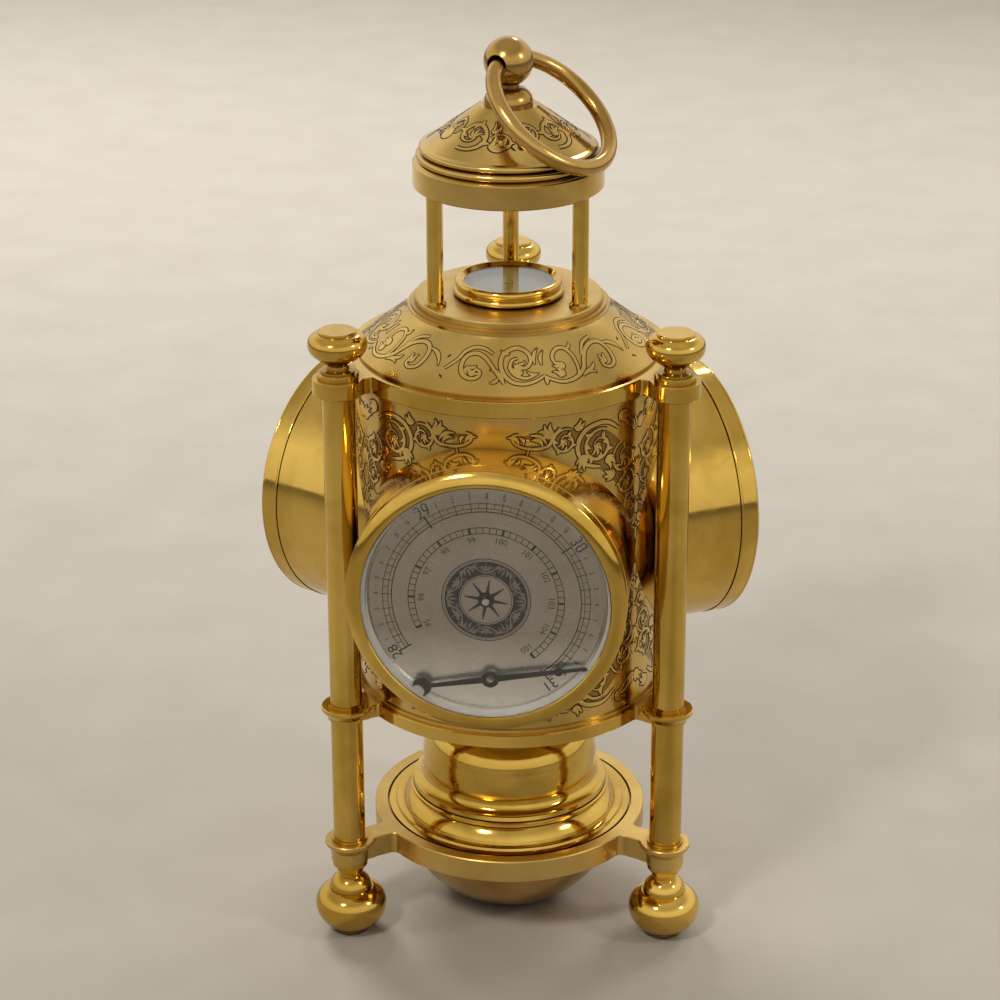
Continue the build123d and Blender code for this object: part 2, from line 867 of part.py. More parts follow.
def pointer_hub():
    """Place of the pointer's hub when the tip and the lower horn both lie on the dial's cone."""
    lean = dial_cone_width / dial_depth
    rest_radius = dial_face_radius + lean * (pointer_back - dial_face) - slip
    horn_along = pointer_crescent_radius / (2 * pointer_notch_share)
    horn_across = sqrt(pointer_crescent_radius**2 - horn_along**2)
    horn = Vector(-horn_along, -horn_across).rotate(Axis.Z, pointer_notch_turn)
    horn += Vector(pointer_crescent_radius - pointer_tail, 0)
    tip = Vector(pointer_length, -pointer_tip_width / 2)
    span = tip - horn
    upward = Vector(-span.Y, span.X).normalized()
    centre = (tip + horn) / 2 + upward * sqrt(rest_radius**2 - (span.length / 2) ** 2)
    return (-centre).rotate(Axis.Z, pointer_tilt)


def barometer_pointer():
    """Pointer that lies across the bottom of the dial."""
    blade = pointer_blade(pointer_tail, pointer_back) - disc(arbor_radius + slip, pointer_back, glass_back)
    return Pos(pointer_hub()) * Rot(0, 0, pointer_tilt) * blade


# Clock works


motion_module = 2 * motion_reach / (cannon_teeth + minute_wheel_teeth)
hour_module = 2 * motion_reach / (minute_pinion_teeth + hour_wheel_teeth)
movement_floor = movement_back + movement_wall
first_layer = movement_floor + gear_start
second_layer = first_layer + gear_layer
minute_wheel_tip = motion_module * (minute_wheel_teeth / 2 + tooth_head)
movement_side = 2 * (motion_reach + minute_wheel_tip + air + movement_wall)
hour_pipe_bore = arbor_radius + running
hour_pipe_radius = hour_pipe_bore + hour_pipe_wall
hour_hand_bottom = dial_face + hour_hand_lift
minute_hand_bottom = hour_hand_bottom + hand_thickness + air


def clock_movement():
    """Housing with the gears inside and a tray for the battery on its back."""
    inner_side = movement_side - 2 * movement_wall
    solid = block(movement_side, movement_side, movement_back, dial_back)
    solid -= block(inner_side, inner_side, movement_floor, dial_back - movement_wall)
    solid -= disc(hour_pipe_radius + running, dial_back - movement_wall, dial_back)
    solid -= Pos(0, -motion_reach, 0) * disc(arbor_radius + running, movement_back, movement_floor)
    tray_end = block(tray_wall, 2 * battery_radius, case_floor + air, movement_back)
    for side in (-1, 1):
        solid += Pos(side * (battery_length / 2 + slip + tray_wall / 2), battery_place, 0) * tray_end
    bearing_bore = arbor_pivot_radius + running
    return solid + disc(bearing_bore + bearing_wall, movement_floor, first_layer - air, bearing_bore)


def clock_battery():
    lie = Pos(0, battery_place, movement_back - battery_radius - slip) * Rot(0, 90, 0)
    return lie * Cylinder(battery_radius, battery_length)


def clock_minute_arbor():
    """Minute arbor with its cannon pinion, up to the minute hand."""
    solid = disc(arbor_pivot_radius, movement_floor + air, first_layer)
    solid += gear(cannon_teeth, motion_module, first_layer, -90)
    return solid + disc(arbor_radius, first_layer + gear_thickness, minute_hand_bottom + hand_thickness)


def clock_minute_wheel():
    """Minute wheel and its pinion on one shaft, with the setting knob behind the movement."""
    knob_top = movement_back - air
    solid = disc(arbor_radius, knob_top, second_layer + gear_thickness)
    solid += gear(minute_wheel_teeth, motion_module, first_layer, 90 + 180 / minute_wheel_teeth)
    solid += gear(minute_pinion_teeth, hour_module, second_layer, 90 + 180 / minute_pinion_teeth)
    solid += disc(knob_radius, knob_top - knob_height, knob_top)
    return Pos(0, -motion_reach, 0) * solid


def clock_hour_wheel():
    """Hour wheel with its pipe around the minute arbor."""
    solid = gear(hour_wheel_teeth, hour_module, second_layer, -90)
    solid += disc(hour_pipe_radius, second_layer, hour_hand_bottom + hand_thickness)
    return solid - disc(hour_pipe_bore, second_layer, hour_hand_bottom + hand_thickness)


def hand(length, bore, bottom, angle):
    """Spade hand, its angle counted clockwise from twelve."""
    blade_root = hand_blade_share * length
    blade = Polyline(
        (-hand_stem_width / 2, -hand_tail),
        (hand_stem_width / 2, -hand_tail),
        (hand_stem_width / 2, blade_root - hand_blade_width / 2),
        (hand_blade_width / 2, blade_root),
        (hand_tip_width / 2, length),
        (-hand_tip_width / 2, length),
        (-hand_blade_width / 2, blade_root),
        (-hand_stem_width / 2, blade_root - hand_blade_width / 2),
        close=True,
    )
    sketch = make_face(blade.edges()) + Circle(bore + hand_hub_wall) - Circle(bore)
    return Rot(0, 0, -angle) * Pos(0, 0, bottom) * extrude(sketch, hand_thickness)


# Thermometer works

coil_start = arbor_radius + air + coil_strip / 2
coil_bottom = gear_floor + coil_lift
coil_top = coil_bottom + coil_height
coil_post_radius = bridge_post_radius / 2


def thermometer_case():
    """Case with a bridge and a thin post on its right side that holds the outer end of the coil."""
    return case() + bridge() + Pos(bridge_reach, 0, 0) * disc(coil_post_radius, bridge_top, coil_top)


def thermometer_coil():
    """Flat spiral strip of half turns, with a straight end to the thin post."""
    arcs = []
    radius = coil_start
    start = coil_start
    for half_turn in range(2 * coil_turns):
        side = 1 if half_turn % 2 == 0 else -1
        end = start - side * 2 * radius
        arcs.append(ThreePointArc((start, 0), ((start + end) / 2, side * radius), (end, 0)))
        start = end
        radius += coil_pitch / 2
    arcs.append(Line((start, 0), (bridge_reach - coil_post_radius, 0)))
    strip = Plane.XY.offset(coil_bottom) * trace(Curve() + arcs, coil_strip)
    return extrude(strip, coil_height)


def thermometer_pointer():
    """Arbor and pointer in one, reading straight up."""
    solid = Rot(0, 0, 90) * pointer_blade(thermometer_tail, pointer_back)
    solid += disc(arbor_pivot_radius, bridge_bottom, gear_floor)
    return solid + disc(arbor_radius, gear_floor, pointer_back + pointer_thickness)


# Roof and cupola

screw_angles = [angle + 60 for angle in column_angles]
screw_circle = roof_radius - roof_screw_inset
post_stud_bore = post_stud_radius + slip


def roof():
    """Conical shell with a thick rim and a disc under the cupola."""
    zero = top_plate_top
    slope = tan(radians(roof_slope))
    skin_drop = roof_skin / cos(radians(roof_slope))
    cove_radius = roof_neck_radius + roof_cove
    disc_bottom = roof_top - roof_disc
    inner_radius = roof_radius - (disc_bottom + skin_drop - zero - roof_edge) / slope
    rim_top = zero + roof_edge + (roof_radius - roof_rim_bore) * slope - skin_drop
    cone = Polyline((roof_radius, zero), (roof_radius, zero + roof_edge), (cove_radius, roof_cone_top))
    cove = TangentArc(
        (cove_radius, roof_cone_top), (roof_neck_radius, roof_cone_top + roof_cove), tangent=(-1, slope)
    )
    rest = Polyline(
        (roof_neck_radius, roof_cone_top + roof_cove),
        (roof_neck_radius, roof_top),
        (0, roof_top),
        (0, disc_bottom),
        (inner_radius, disc_bottom),
        (roof_rim_bore, rim_top),
        (roof_rim_bore, zero),
        (roof_radius, zero),
    )
    solid = turned(cone, cove, rest)
    solid = bored(solid, screw_angles, screw_circle, disc(roof_screw_radius + slip, zero, zero + roof_screw_grip))
    return bored(solid, column_angles, post_circle, disc(post_stud_bore, disc_bottom, roof_top))


def roof_screws():
    """Three screws from inside the shell through the top plate into the roof's rim."""
    head_top = top_plate_bottom - seat_step_height
    screw = disc(roof_screw_radius, head_top, top_plate_top + roof_screw_grip)
    screw += disc(roof_screw_head_radius, head_top - roof_screw_head, head_top)
    return Compound(children=at_angles(screw_angles, screw_circle, screw))


def cupola_floor():
    base_top = roof_top + cupola_base_height
    solid = disc(roof_neck_radius - cupola_base_inset, roof_top, base_top)
    solid += disc(cupola_radius, base_top, cupola_top)
    solid = chamfer(solid.edges().group_by(Axis.Z)[-1], edge)
    return bored(solid, column_angles, post_circle, disc(post_stud_bore, roof_top, cupola_top))


def cupola_posts():
    """Three posts with flared feet and a stud at each end."""
    flare = Polyline(
        (0, cupola_top),
        (post_foot_radius, cupola_top),
        (post_foot_radius, cupola_top + post_foot_height / 2),
        (post_radius, cupola_top + post_foot_height),
        (0, cupola_top + post_foot_height),
        (0, cupola_top),
    )
    post = disc(post_radius, cupola_top, canopy_bottom) + turned(flare)
    post += disc(post_stud_radius, cupola_top - post_stud_reach, canopy_bottom + post_top_reach)
    return Compound(children=at_angles(column_angles, post_circle, post))


def canopy():
    """Band, two beads and a cone, hollow over a ring that takes the posts."""
    zero = canopy_bottom
    slope = tan(radians(canopy_slope))
    skin_drop = canopy_skin / cos(radians(canopy_slope))
    ring_bore = post_circle - post_inset
    ceiling = canopy_top - skin_drop - canopy_crown
    inner_radius = canopy_cone_radius - (ceiling + skin_drop - zero - canopy_cone_level) / slope
    wall_radius = canopy_cone_radius - canopy_skin
    wall_top = zero + canopy_cone_level + canopy_skin * slope - skin_drop
    lower_radius = canopy_radius - canopy_bead_step
    upper_radius = lower_radius - canopy_bead_step
    lower_level = zero + canopy_bead_level
    upper_level = zero + canopy_upper_bead_level
    half_bead = canopy_bead_height / 2
    band = Polyline(
        (ring_bore, zero),
        (canopy_radius - edge, zero),
        (canopy_radius, zero + edge),
        (canopy_radius, zero + canopy_band - edge),
        (canopy_radius - edge, zero + canopy_band),
        (lower_radius - canopy_bead_depth, lower_level - half_bead),
    )
    lower_bead = bead(lower_radius, lower_level, canopy_bead_height, canopy_bead_depth)
    step = Line(
        (lower_radius - canopy_bead_depth, lower_level + half_bead),
        (upper_radius - canopy_bead_depth, upper_level - half_bead),
    )
    upper_bead = bead(upper_radius, upper_level, canopy_bead_height, canopy_bead_depth)
    crown = Polyline(
        (upper_radius - canopy_bead_depth, upper_level + half_bead),
        (canopy_cone_radius, zero + canopy_cone_level),
        (canopy_top_radius, canopy_top),
        (0, canopy_top),
        (0, ceiling),
        (inner_radius, ceiling),
        (wall_radius, wall_top),
        (wall_radius, zero + canopy_ring_height),
        (ring_bore, zero + canopy_ring_height),
        (ring_bore, zero),
    )
    solid = turned(band, lower_bead, step, upper_bead, crown)
    solid = bored(solid, column_angles, post_circle, disc(post_stud_bore, zero, zero + post_top_reach + slip))
    return solid - disc(ball_stem_radius + slip, canopy_top - ball_stem_length, canopy_top)


# Ball and carrying ring

ring_sag = ring_radius - sqrt(ring_radius**2 - ball_radius**2)
ring_offset = ring_radius - ring_sag / 2
ring_hole_radius = ring_tube + ring_sag / 2 + ring_play


def ring_droop():
    """Angle below the horizontal at which the ring's far side rests, an air gap off the canopy's outline."""
    lower_radius = canopy_radius - canopy_bead_step
    outline = Polyline(
        (canopy_radius, canopy_bottom),
        (canopy_radius, canopy_bottom + canopy_band),
        (lower_radius, canopy_bottom + canopy_bead_level),
        (lower_radius - canopy_bead_step, canopy_bottom + canopy_upper_bead_level),
        (canopy_cone_radius, canopy_bottom + canopy_cone_level),
        (canopy_top_radius, canopy_top),
    )
    reach = ring_offset + ring_radius
    droop = 0.0
    gap = reach
    while gap > ring_tube + air and droop < 90:
        droop += ring_droop_step
        turn = radians(droop)
        gap = outline.distance_to(Vertex(reach * cos(turn), ball_height - reach * sin(turn)))
    return droop


def ring_ball():
    """Domed collar, neck and cross-bored ball on a stem that screws into the canopy."""
    shoulder = (dome_radius, canopy_top + dome_edge)
    dome = TangentArc(shoulder, (dome_neck_radius, dome_top), tangent=(0, 1))
    outline = Polyline(
        (dome_neck_radius, dome_top),
        (dome_neck_radius, ball_height),
        (0, ball_height),
        (0, canopy_top),
        (dome_radius, canopy_top),
        shoulder,
    )
    solid = turned(dome, outline) + disc(ball_stem_radius, canopy_top - ball_stem_length, canopy_top)
    solid += Pos(0, 0, ball_height) * Sphere(ball_radius)
    hole = Plane(origin=(0, 0, ball_height), z_dir=polar(ring_hole_angle, 1))
    return solid - hole * Cylinder(ring_hole_radius, 2 * ball_radius)


def carry_ring():
    along = Vector(*polar(ring_hole_angle, 1))
    sideways = Vector(*polar(ring_hole_angle + 90, 1))
    droop = radians(ring_droop())
    outward = sideways * cos(droop) - Vector(0, 0, 1) * sin(droop)
    centre = Vector(0, 0, ball_height) + outward * ring_offset
    return Plane(origin=centre, x_dir=along, z_dir=along.cross(outward)) * Torus(ring_radius, ring_tube)


# Compass

compass_flange_radius = post_circle - post_foot_radius - compass_gap
compass_radius = compass_flange_radius - compass_flange_width
compass_well = compass_radius - compass_wall
compass_top = cupola_top + compass_height
compass_bezel_bottom = compass_top - compass_bezel_height
card_bottom = cupola_top + compass_floor
card_top = card_bottom + compass_card_thickness
compass_glass_top = compass_top - compass_glass_drop
compass_glass_bottom = compass_glass_top - compass_glass_thickness
needle_top = compass_glass_bottom - air
needle_bottom = needle_top - needle_cap_height
needle_seat = needle_bottom + needle_cap_height / 2


def compass_case():
    """Cup with a rounded ring around its foot."""
    ring_middle = cupola_top + compass_flange_height / 2
    ring = bead(compass_flange_radius, ring_middle, compass_flange_height, compass_flange_width)
    outline = Polyline(
        (compass_radius, cupola_top + compass_flange_height),
        (compass_radius, compass_bezel_bottom),
        (compass_well, compass_bezel_bottom),
        (compass_well, card_bottom),
        (0, card_bottom),
        (0, cupola_top),
        (compass_radius, cupola_top),
    )
    return turned(ring, outline)


def compass_card():
    return disc(compass_well - slip, card_bottom, card_top)


def compass_pivot():
    foot_disc = disc(compass_pin_foot_radius, card_top, card_top + compass_pin_foot_height)
    return foot_disc + disc(compass_pin_radius, card_top, needle_seat - slip)


def compass_needle():
    blade = Polyline(
        (0, -needle_length / 2), (needle_width / 2, 0), (0, needle_length / 2), (-needle_width / 2, 0), close=True
    )
    solid = Pos(0, 0, needle_bottom) * extrude(make_face(blade.edges()), needle_thickness)
    solid += disc(needle_cap_radius, needle_bottom, needle_top)
    return solid - disc(compass_pin_radius + running, needle_bottom, needle_seat)


def compass_glass():
    return disc(compass_well - slip, compass_glass_bottom, compass_glass_top)


def compass_bezel():
    """Rounded ring over the glass, with a seat for it."""
    outer = compass_radius + compass_bezel_swell
    opening = outer - compass_bezel_width
    crown = ((outer + opening) / 2, compass_top)
    foot_point = (compass_radius, compass_bezel_bottom)
    low, high = bulge(foot_point, (outer, compass_bezel_bottom + compass_bezel_height / 2), crown)
    outline = Polyline(
        crown,
        (opening, compass_glass_top),
        (compass_well, compass_glass_top),
        (compass_well, compass_bezel_bottom),
        foot_point,
    )
    return turned(low, high, outline)


# Write every piece to its own file

for side, place in zip(column_sides, column_angles):
    spot = Pos(*polar(place, column_circle))
    save(f"foot_{side}", spot * foot())
    save(f"lower_column_{side}", spot * column(lower_plate_top, middle_plate_bottom, middle_plate_top))
    save(f"upper_column_{side}", spot * column(middle_plate_top, top_plate_bottom, top_plate_top))
    save(f"finial_{side}", spot * finial())

arbor_hole = arbor_radius + running
cases = {"barometer": barometer_case, "clock": case, "thermometer": thermometer_case}
bores = {"barometer": arbor_hole, "clock": hour_pipe_radius + running, "thermometer": arbor_hole}
works = {
    "barometer": (barometer_capsule, barometer_sector, barometer_arbor, barometer_pointer),
    "clock": (clock_movement, clock_battery, clock_minute_arbor, clock_minute_wheel, clock_hour_wheel),
    "thermometer": (thermometer_coil, thermometer_pointer),
}
for instrument in drum_sides:
    frame = drum_frame(instrument)
    save(f"{instrument}_drum", drum(instrument))
    save(f"{instrument}_bezel", frame * bezel())
    save(f"{instrument}_glass", frame * dial_glass())
    save(f"{instrument}_dial", frame * dial(bores[instrument]))
    save(f"{instrument}_case", frame * cases[instrument]())
    for maker in works[instrument]:
        save(maker.__name__, frame * maker())

clock_frame = drum_frame("clock")
minute_hand = hand(minute_hand_length, arbor_radius, minute_hand_bottom, minute_hand_angle)
hour_hand = hand(hour_hand_length, hour_pipe_radius, hour_hand_bottom, hour_hand_angle)
save("clock_minute_hand", clock_frame * minute_hand)
save("clock_hour_hand", clock_frame * hour_hand)

single_pieces = (
    lower_plate, middle_plate, top_plate, base_bowl, tie_bolt, pedestal, body_shell, roof, roof_screws,
    cupola_floor, cupola_posts, canopy, ring_ball, carry_ring, compass_case, compass_card, compass_pivot,
    compass_needle, compass_glass, compass_bezel,
)
for maker in single_pieces:
    save(maker.__name__, maker())
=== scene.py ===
import json
import math

import bmesh
import bpy
from mathutils import Matrix, Vector


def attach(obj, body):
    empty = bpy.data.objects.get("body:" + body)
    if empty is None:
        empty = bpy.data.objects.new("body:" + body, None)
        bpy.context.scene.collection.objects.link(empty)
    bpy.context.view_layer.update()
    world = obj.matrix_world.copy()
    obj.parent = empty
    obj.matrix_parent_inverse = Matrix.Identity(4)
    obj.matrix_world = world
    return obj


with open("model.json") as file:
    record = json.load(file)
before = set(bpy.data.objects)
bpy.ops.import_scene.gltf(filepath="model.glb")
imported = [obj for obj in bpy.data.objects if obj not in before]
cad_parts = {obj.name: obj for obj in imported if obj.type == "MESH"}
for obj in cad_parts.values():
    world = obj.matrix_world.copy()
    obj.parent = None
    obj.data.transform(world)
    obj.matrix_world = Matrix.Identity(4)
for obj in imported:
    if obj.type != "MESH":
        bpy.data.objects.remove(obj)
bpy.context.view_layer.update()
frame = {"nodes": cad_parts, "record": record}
nodes = frame["nodes"]
MM = 0.001
sin, cos, pi, rad = math.sin, math.cos, math.pi, math.radians

# Places of the solids that carry ornament and print, in millimetres and degrees
# A cone is two (radius, level) rings

drum_level = 125.296
drum_angles = {"barometer": -4.6, "clock": 115.4, "thermometer": -124.6}
dial_face = 59.9
shell_radius = 45.0
roof_cone = ((44.0, 179.59), (30.4, 190.2))
canopy_cone = ((23.6, 239.617), (8.4, 250.660))

# Materials


class Shader:
    """A node material built step by step."""

    def __init__(self, name):
        self.material = bpy.data.materials.new(name)
        self.material.use_nodes = True
        self.tree = self.material.node_tree
        self.bsdf = self.tree.nodes["Principled BSDF"]
        self.coords = self.tree.nodes.new("ShaderNodeTexCoord").outputs["Object"]

    def link(self, source, target):
        self.tree.links.new(source, target)

    def mapping(self, scale):
        node = self.tree.nodes.new("ShaderNodeMapping")
        node.inputs["Scale"].default_value = scale
        self.link(self.coords, node.inputs["Vector"])
        return node.outputs["Vector"]

    def noise(self, scale, detail=3.0, rough=0.55, stretch=None, distortion=0.0):
        node = self.tree.nodes.new("ShaderNodeTexNoise")
        node.inputs["Scale"].default_value = scale
        node.inputs["Detail"].default_value = detail
        node.inputs["Roughness"].default_value = rough
        node.inputs["Distortion"].default_value = distortion
        self.link(self.mapping(stretch) if stretch else self.coords, node.inputs["Vector"])
        return node.outputs["Fac"]

    def ramp(self, value, stops):
        node = self.tree.nodes.new("ShaderNodeValToRGB")
        node.color_ramp.elements[0].position, node.color_ramp.elements[0].color = stops[0][0], stops[0][1]
        node.color_ramp.elements[1].position, node.color_ramp.elements[1].color = stops[-1][0], stops[-1][1]
        for place, colour in stops[1:-1]:
            node.color_ramp.elements.new(place).color = colour
        self.link(value, node.inputs["Fac"])
        return node.outputs["Color"]

    def spread(self, value, low, high, from_low=0.3, from_high=0.7):
        node = self.tree.nodes.new("ShaderNodeMapRange")
        limits = {"From Min": from_low, "From Max": from_high, "To Min": low, "To Max": high}
        for name, number in limits.items():
            node.inputs[name].default_value = number
        self.link(value, node.inputs["Value"])
        return node.outputs["Result"]

    def mixed(self, first, second, share, kind="MIX"):
        """Two colours mixed; share is a number or the output of a node."""
        node = self.tree.nodes.new("ShaderNodeMix")
        node.data_type, node.blend_type = "RGBA", kind
        factor = next(socket for socket in node.inputs if socket.type == "VALUE")
        if hasattr(share, "node"):
            self.link(share, factor)
        else:
            factor.default_value = share
        colours = [socket for socket in node.inputs if socket.type == "RGBA"]
        self.link(first, colours[0])
        self.link(second, colours[1])
        return next(socket for socket in node.outputs if socket.type == "RGBA")

    def multiply(self, first, second, share):
        return self.mixed(first, second, share, "MULTIPLY")

    def corners(self, reach):
        """White on open surfaces and brown where another surface is nearer than the reach: painted shade,
        partly grime.
        """
        node = self.tree.nodes.new("ShaderNodeAmbientOcclusion")
        node.samples = 6
        node.inputs["Distance"].default_value = reach
        return self.ramp(node.outputs["AO"], [(0.20, rgb(0.20, 0.14, 0.07)), (0.80, rgb(1, 1, 1))])

    def bump(self, value, distance, strength=1.0, previous=None):
        node = self.tree.nodes.new("ShaderNodeBump")
        node.inputs["Strength"].default_value = strength
        node.inputs["Distance"].default_value = distance
        self.link(value, node.inputs["Height"])
        if previous is not None:
            self.link(previous, node.inputs["Normal"])
        return node.outputs["Normal"]

    def set(self, **values):
        for name, value in values.items():
            socket = self.bsdf.inputs[name.replace("_", " ")]
            if hasattr(value, "node"):
                self.link(value, socket)
            else:
                socket.default_value = value
        return self


def rgb(red, green, blue):
    return (red, green, blue, 1.0)


def brass(name, bright, dull, low_rough, high_rough, brushed=None):
    """Lacquered brass: clouded tarnish, smudges, fine polishing marks and brown painted shade, partly grime,
    in its corners.
    """
    s = Shader(name)
    cloud = s.noise(26.0, 4.0, 0.6, distortion=0.5)
    smudge = s.noise(140.0, 5.0, 0.65, distortion=0.6)
    tint = s.ramp(cloud, [(0.36, dull), (0.60, bright)])
    s.set(
        # Painted shade, partly grime: the base colour turns brown where another surface is near
        Base_Color=s.multiply(tint, s.corners(0.006), 0.9),
        Metallic=1.0,
        Roughness=s.spread(smudge, low_rough, high_rough),
    )
    ripple = s.bump(s.noise(75.0, 2.0, 0.5), 0.00008, 0.6)
    if brushed:
        marks = s.noise(600.0, 3.0, 0.6, stretch=brushed)
    else:
        marks = s.noise(2600.0, 2.0, 0.5)
    s.set(Normal=s.bump(marks, 0.000006, 0.35, ripple))
    return s.material


GOLD = rgb(0.73, 0.485, 0.112)
AMBER = rgb(0.53, 0.33, 0.056)
polished = brass("brass_polished", GOLD, AMBER, 0.06, 0.16)
engraved = brass("brass_engraved", rgb(0.67, 0.46, 0.14), rgb(0.52, 0.33, 0.08), 0.12, 0.24)
raised = brass("brass_raised", rgb(0.78, 0.545, 0.165), rgb(0.58, 0.375, 0.09), 0.10, 0.20)
satin = brass("brass_satin", rgb(0.70, 0.49, 0.16), rgb(0.56, 0.37, 0.10), 0.28, 0.42)
aged = brass("brass_aged", rgb(0.58, 0.37, 0.12), rgb(0.40, 0.24, 0.06), 0.14, 0.28)
# Dark brass for the ground under the foliage: painted shade, partly tarnish
shaded = brass("brass_shaded", rgb(0.36, 0.215, 0.055), rgb(0.21, 0.12, 0.027), 0.20, 0.34)
works = brass("brass_works", rgb(0.70, 0.50, 0.22), rgb(0.56, 0.38, 0.14), 0.22, 0.34, brushed=(1, 1, 0.1))


def grained(name, light, dark, low_rough, high_rough, metallic=1.0, scale=220.0):
    """Metal, paint or plastic with a fine two-tone grain."""
    s = Shader(name)
    grain = s.noise(scale, 4.0, 0.6)
    s.set(
        Base_Color=s.ramp(grain, [(0.35, dark), (0.65, light)]),
        Metallic=metallic,
        Roughness=s.spread(grain, low_rough, high_rough),
        Normal=s.bump(s.noise(3000.0, 2.0), 0.000008, 0.5),
    )
    return s.material


steel = grained("steel_turned", rgb(0.62, 0.62, 0.63), rgb(0.48, 0.48, 0.50), 0.2, 0.4)
case_steel = grained("case_plated", rgb(0.58, 0.57, 0.55), rgb(0.47, 0.46, 0.45), 0.3, 0.5)
blackened = grained("steel_blackened", rgb(0.014, 0.013, 0.014), rgb(0.006, 0.006, 0.007), 0.35, 0.5, 0.3)
plastic = grained(
    "movement_plastic", rgb(0.035, 0.035, 0.037), rgb(0.022, 0.022, 0.023), 0.45, 0.6, 0.0, 900.0
)
battery_jacket = grained("battery_jacket", rgb(0.16, 0.20, 0.26), rgb(0.11, 0.14, 0.19), 0.25, 0.35, 0.0)
blued = grained("needle_blued", rgb(0.05, 0.06, 0.09), rgb(0.03, 0.035, 0.05), 0.22, 0.35, 0.8)
card_paint = grained(
    "compass_card_paint", rgb(0.15, 0.16, 0.125), rgb(0.11, 0.12, 0.095), 0.4, 0.55, 0.0, 500.0
)
ink = grained("dial_ink", rgb(0.012, 0.011, 0.011), rgb(0.006, 0.006, 0.006), 0.5, 0.65, 0.0, 900.0)
groove = grained("engraved_line", rgb(0.050, 0.024, 0.007), rgb(0.020, 0.009, 0.003), 0.4, 0.6, 0.4, 700.0)


def silvered_dial(name, angle):
    """Silvered disc with faint haze and a painted reflection that makes it paler towards its bottom, inside a
    white painted cone.
    """
    s = Shader(name)
    node = s.tree.nodes.new("ShaderNodeMapping")
    node.vector_type = "TEXTURE"
    node.inputs["Location"].default_value = (0, 0, drum_level * MM)
    node.inputs["Rotation"].default_value = (0, 0, rad(angle))
    s.link(s.coords, node.inputs["Vector"])
    flat = s.tree.nodes.new("ShaderNodeVectorMath")
    flat.operation = "MULTIPLY"
    flat.inputs[1].default_value = (1, 0, 1)
    s.link(node.outputs["Vector"], flat.inputs[0])
    length = s.tree.nodes.new("ShaderNodeVectorMath")
    length.operation = "LENGTH"
    s.link(flat.outputs["Vector"], length.inputs[0])
    cone = s.spread(length.outputs["Value"], 0.0, 1.0, 0.0334, 0.0335)
    apart = s.tree.nodes.new("ShaderNodeSeparateXYZ")
    s.link(flat.outputs["Vector"], apart.inputs["Vector"])
    # Painted reflection: a share that grows towards the bottom of the dial
    painted_reflection = s.spread(apart.outputs["Z"], 1.0, 0.0, -0.034, -0.010)
    haze = s.noise(60.0, 5.0, 0.6, distortion=0.4)
    grain = s.noise(2400.0, 2.0)
    face = s.ramp(haze, [(0.3, rgb(0.33, 0.285, 0.23)), (0.7, rgb(0.41, 0.355, 0.29))])
    # low is the colour of the painted reflection at the bottom of the dial
    low = s.ramp(haze, [(0.3, rgb(0.86, 0.82, 0.74)), (0.7, rgb(0.94, 0.91, 0.83))])
    paint = s.ramp(haze, [(0.3, rgb(0.84, 0.81, 0.73)), (0.7, rgb(0.90, 0.88, 0.81))])
    s.set(
        Base_Color=s.mixed(s.mixed(face, low, painted_reflection), paint, cone),
        Metallic=s.spread(cone, 0.8, 0.0, 0.0, 1.0),
        Roughness=s.spread(grain, 0.26, 0.34),
        Normal=s.bump(grain, 0.000006, 0.5),
    )
    return s.material


def clear_glass(name):
    s = Shader(name)
    faint = s.noise(120.0, 3.0)
    s.set(Base_Color=rgb(1, 1, 1), Transmission_Weight=1.0, IOR=1.45, Roughness=s.spread(faint, 0.0, 0.02))
    return s.material


glass = clear_glass("glass_clear")
pale_print = grained(
    "dial_pale_print", rgb(0.26, 0.225, 0.175), rgb(0.18, 0.155, 0.12), 0.3, 0.4, 0.5, 500.0
)

slot_materials = {
    "brass": polished,
    "engraved_brass": engraved,
    "satin_brass": satin,
    "works_brass": works,
    "glass": glass,
    "silvered": pale_print,
    "case_steel": case_steel,
    "steel": steel,
    "blackened_steel": blackened,
    "movement_plastic": plastic,
    "battery_jacket": battery_jacket,
    "compass_card": card_paint,
    "needle_steel": blued,
}


def dress(obj, *materials):
    obj.data.materials.clear()
    for material in materials:
        obj.data.materials.append(material)


for subpart in frame["record"]["subparts"]:
    dress(nodes[subpart["node"]], slot_materials[subpart["material_slot"]])
for name in ("carry_ring", "ring_ball", "base_bowl"):
    dress(nodes[name], aged)
dress(nodes["cupola_floor"], satin)
for drum, angle in drum_angles.items():
    dress(nodes[drum + "_dial"], silvered_dial("dial_" + drum, angle))

# Engraving and print, drawn as thin strokes on a surface; lengths in millimetres, angles in degrees


def outward(angle):
    return Vector((sin(rad(angle)), -cos(rad(angle)), 0))


def on_disc(angle, reach, level):
    """Places on a drum's disc: x to the right of the reader, y up, height along the drum's axis."""
    out = outward(angle)
    side = Vector((cos(rad(angle)), sin(rad(angle)), 0))
    return lambda x, y, height: (out * (reach + height) + side * x + Vector((0, 0, level + y))) * MM


def on_cone(low, high, angle):
    """Places on a cone between two (radius, level) rings: x along the middle ring, y up the slope."""
    lean = math.atan2(high[1] - low[1], low[0] - high[0])
    middle = ((low[0] + high[0]) / 2, (low[1] + high[1]) / 2)

    def place(x, y, height):
        radius = middle[0] - y * cos(lean) + height * sin(lean)
        level = middle[1] + y * sin(lean) + height * cos(lean)
        return (outward(angle + math.degrees(x / middle[0])) * radius + Vector((0, 0, level))) * MM

    return place


def on_barrel(radius, level, angle):
    """Places on an upright cylinder: x around it, y up."""
    return lambda x, y, height: (
        outward(angle + math.degrees(x / radius)) * (radius + height) + Vector((0, 0, level + y))
    ) * MM


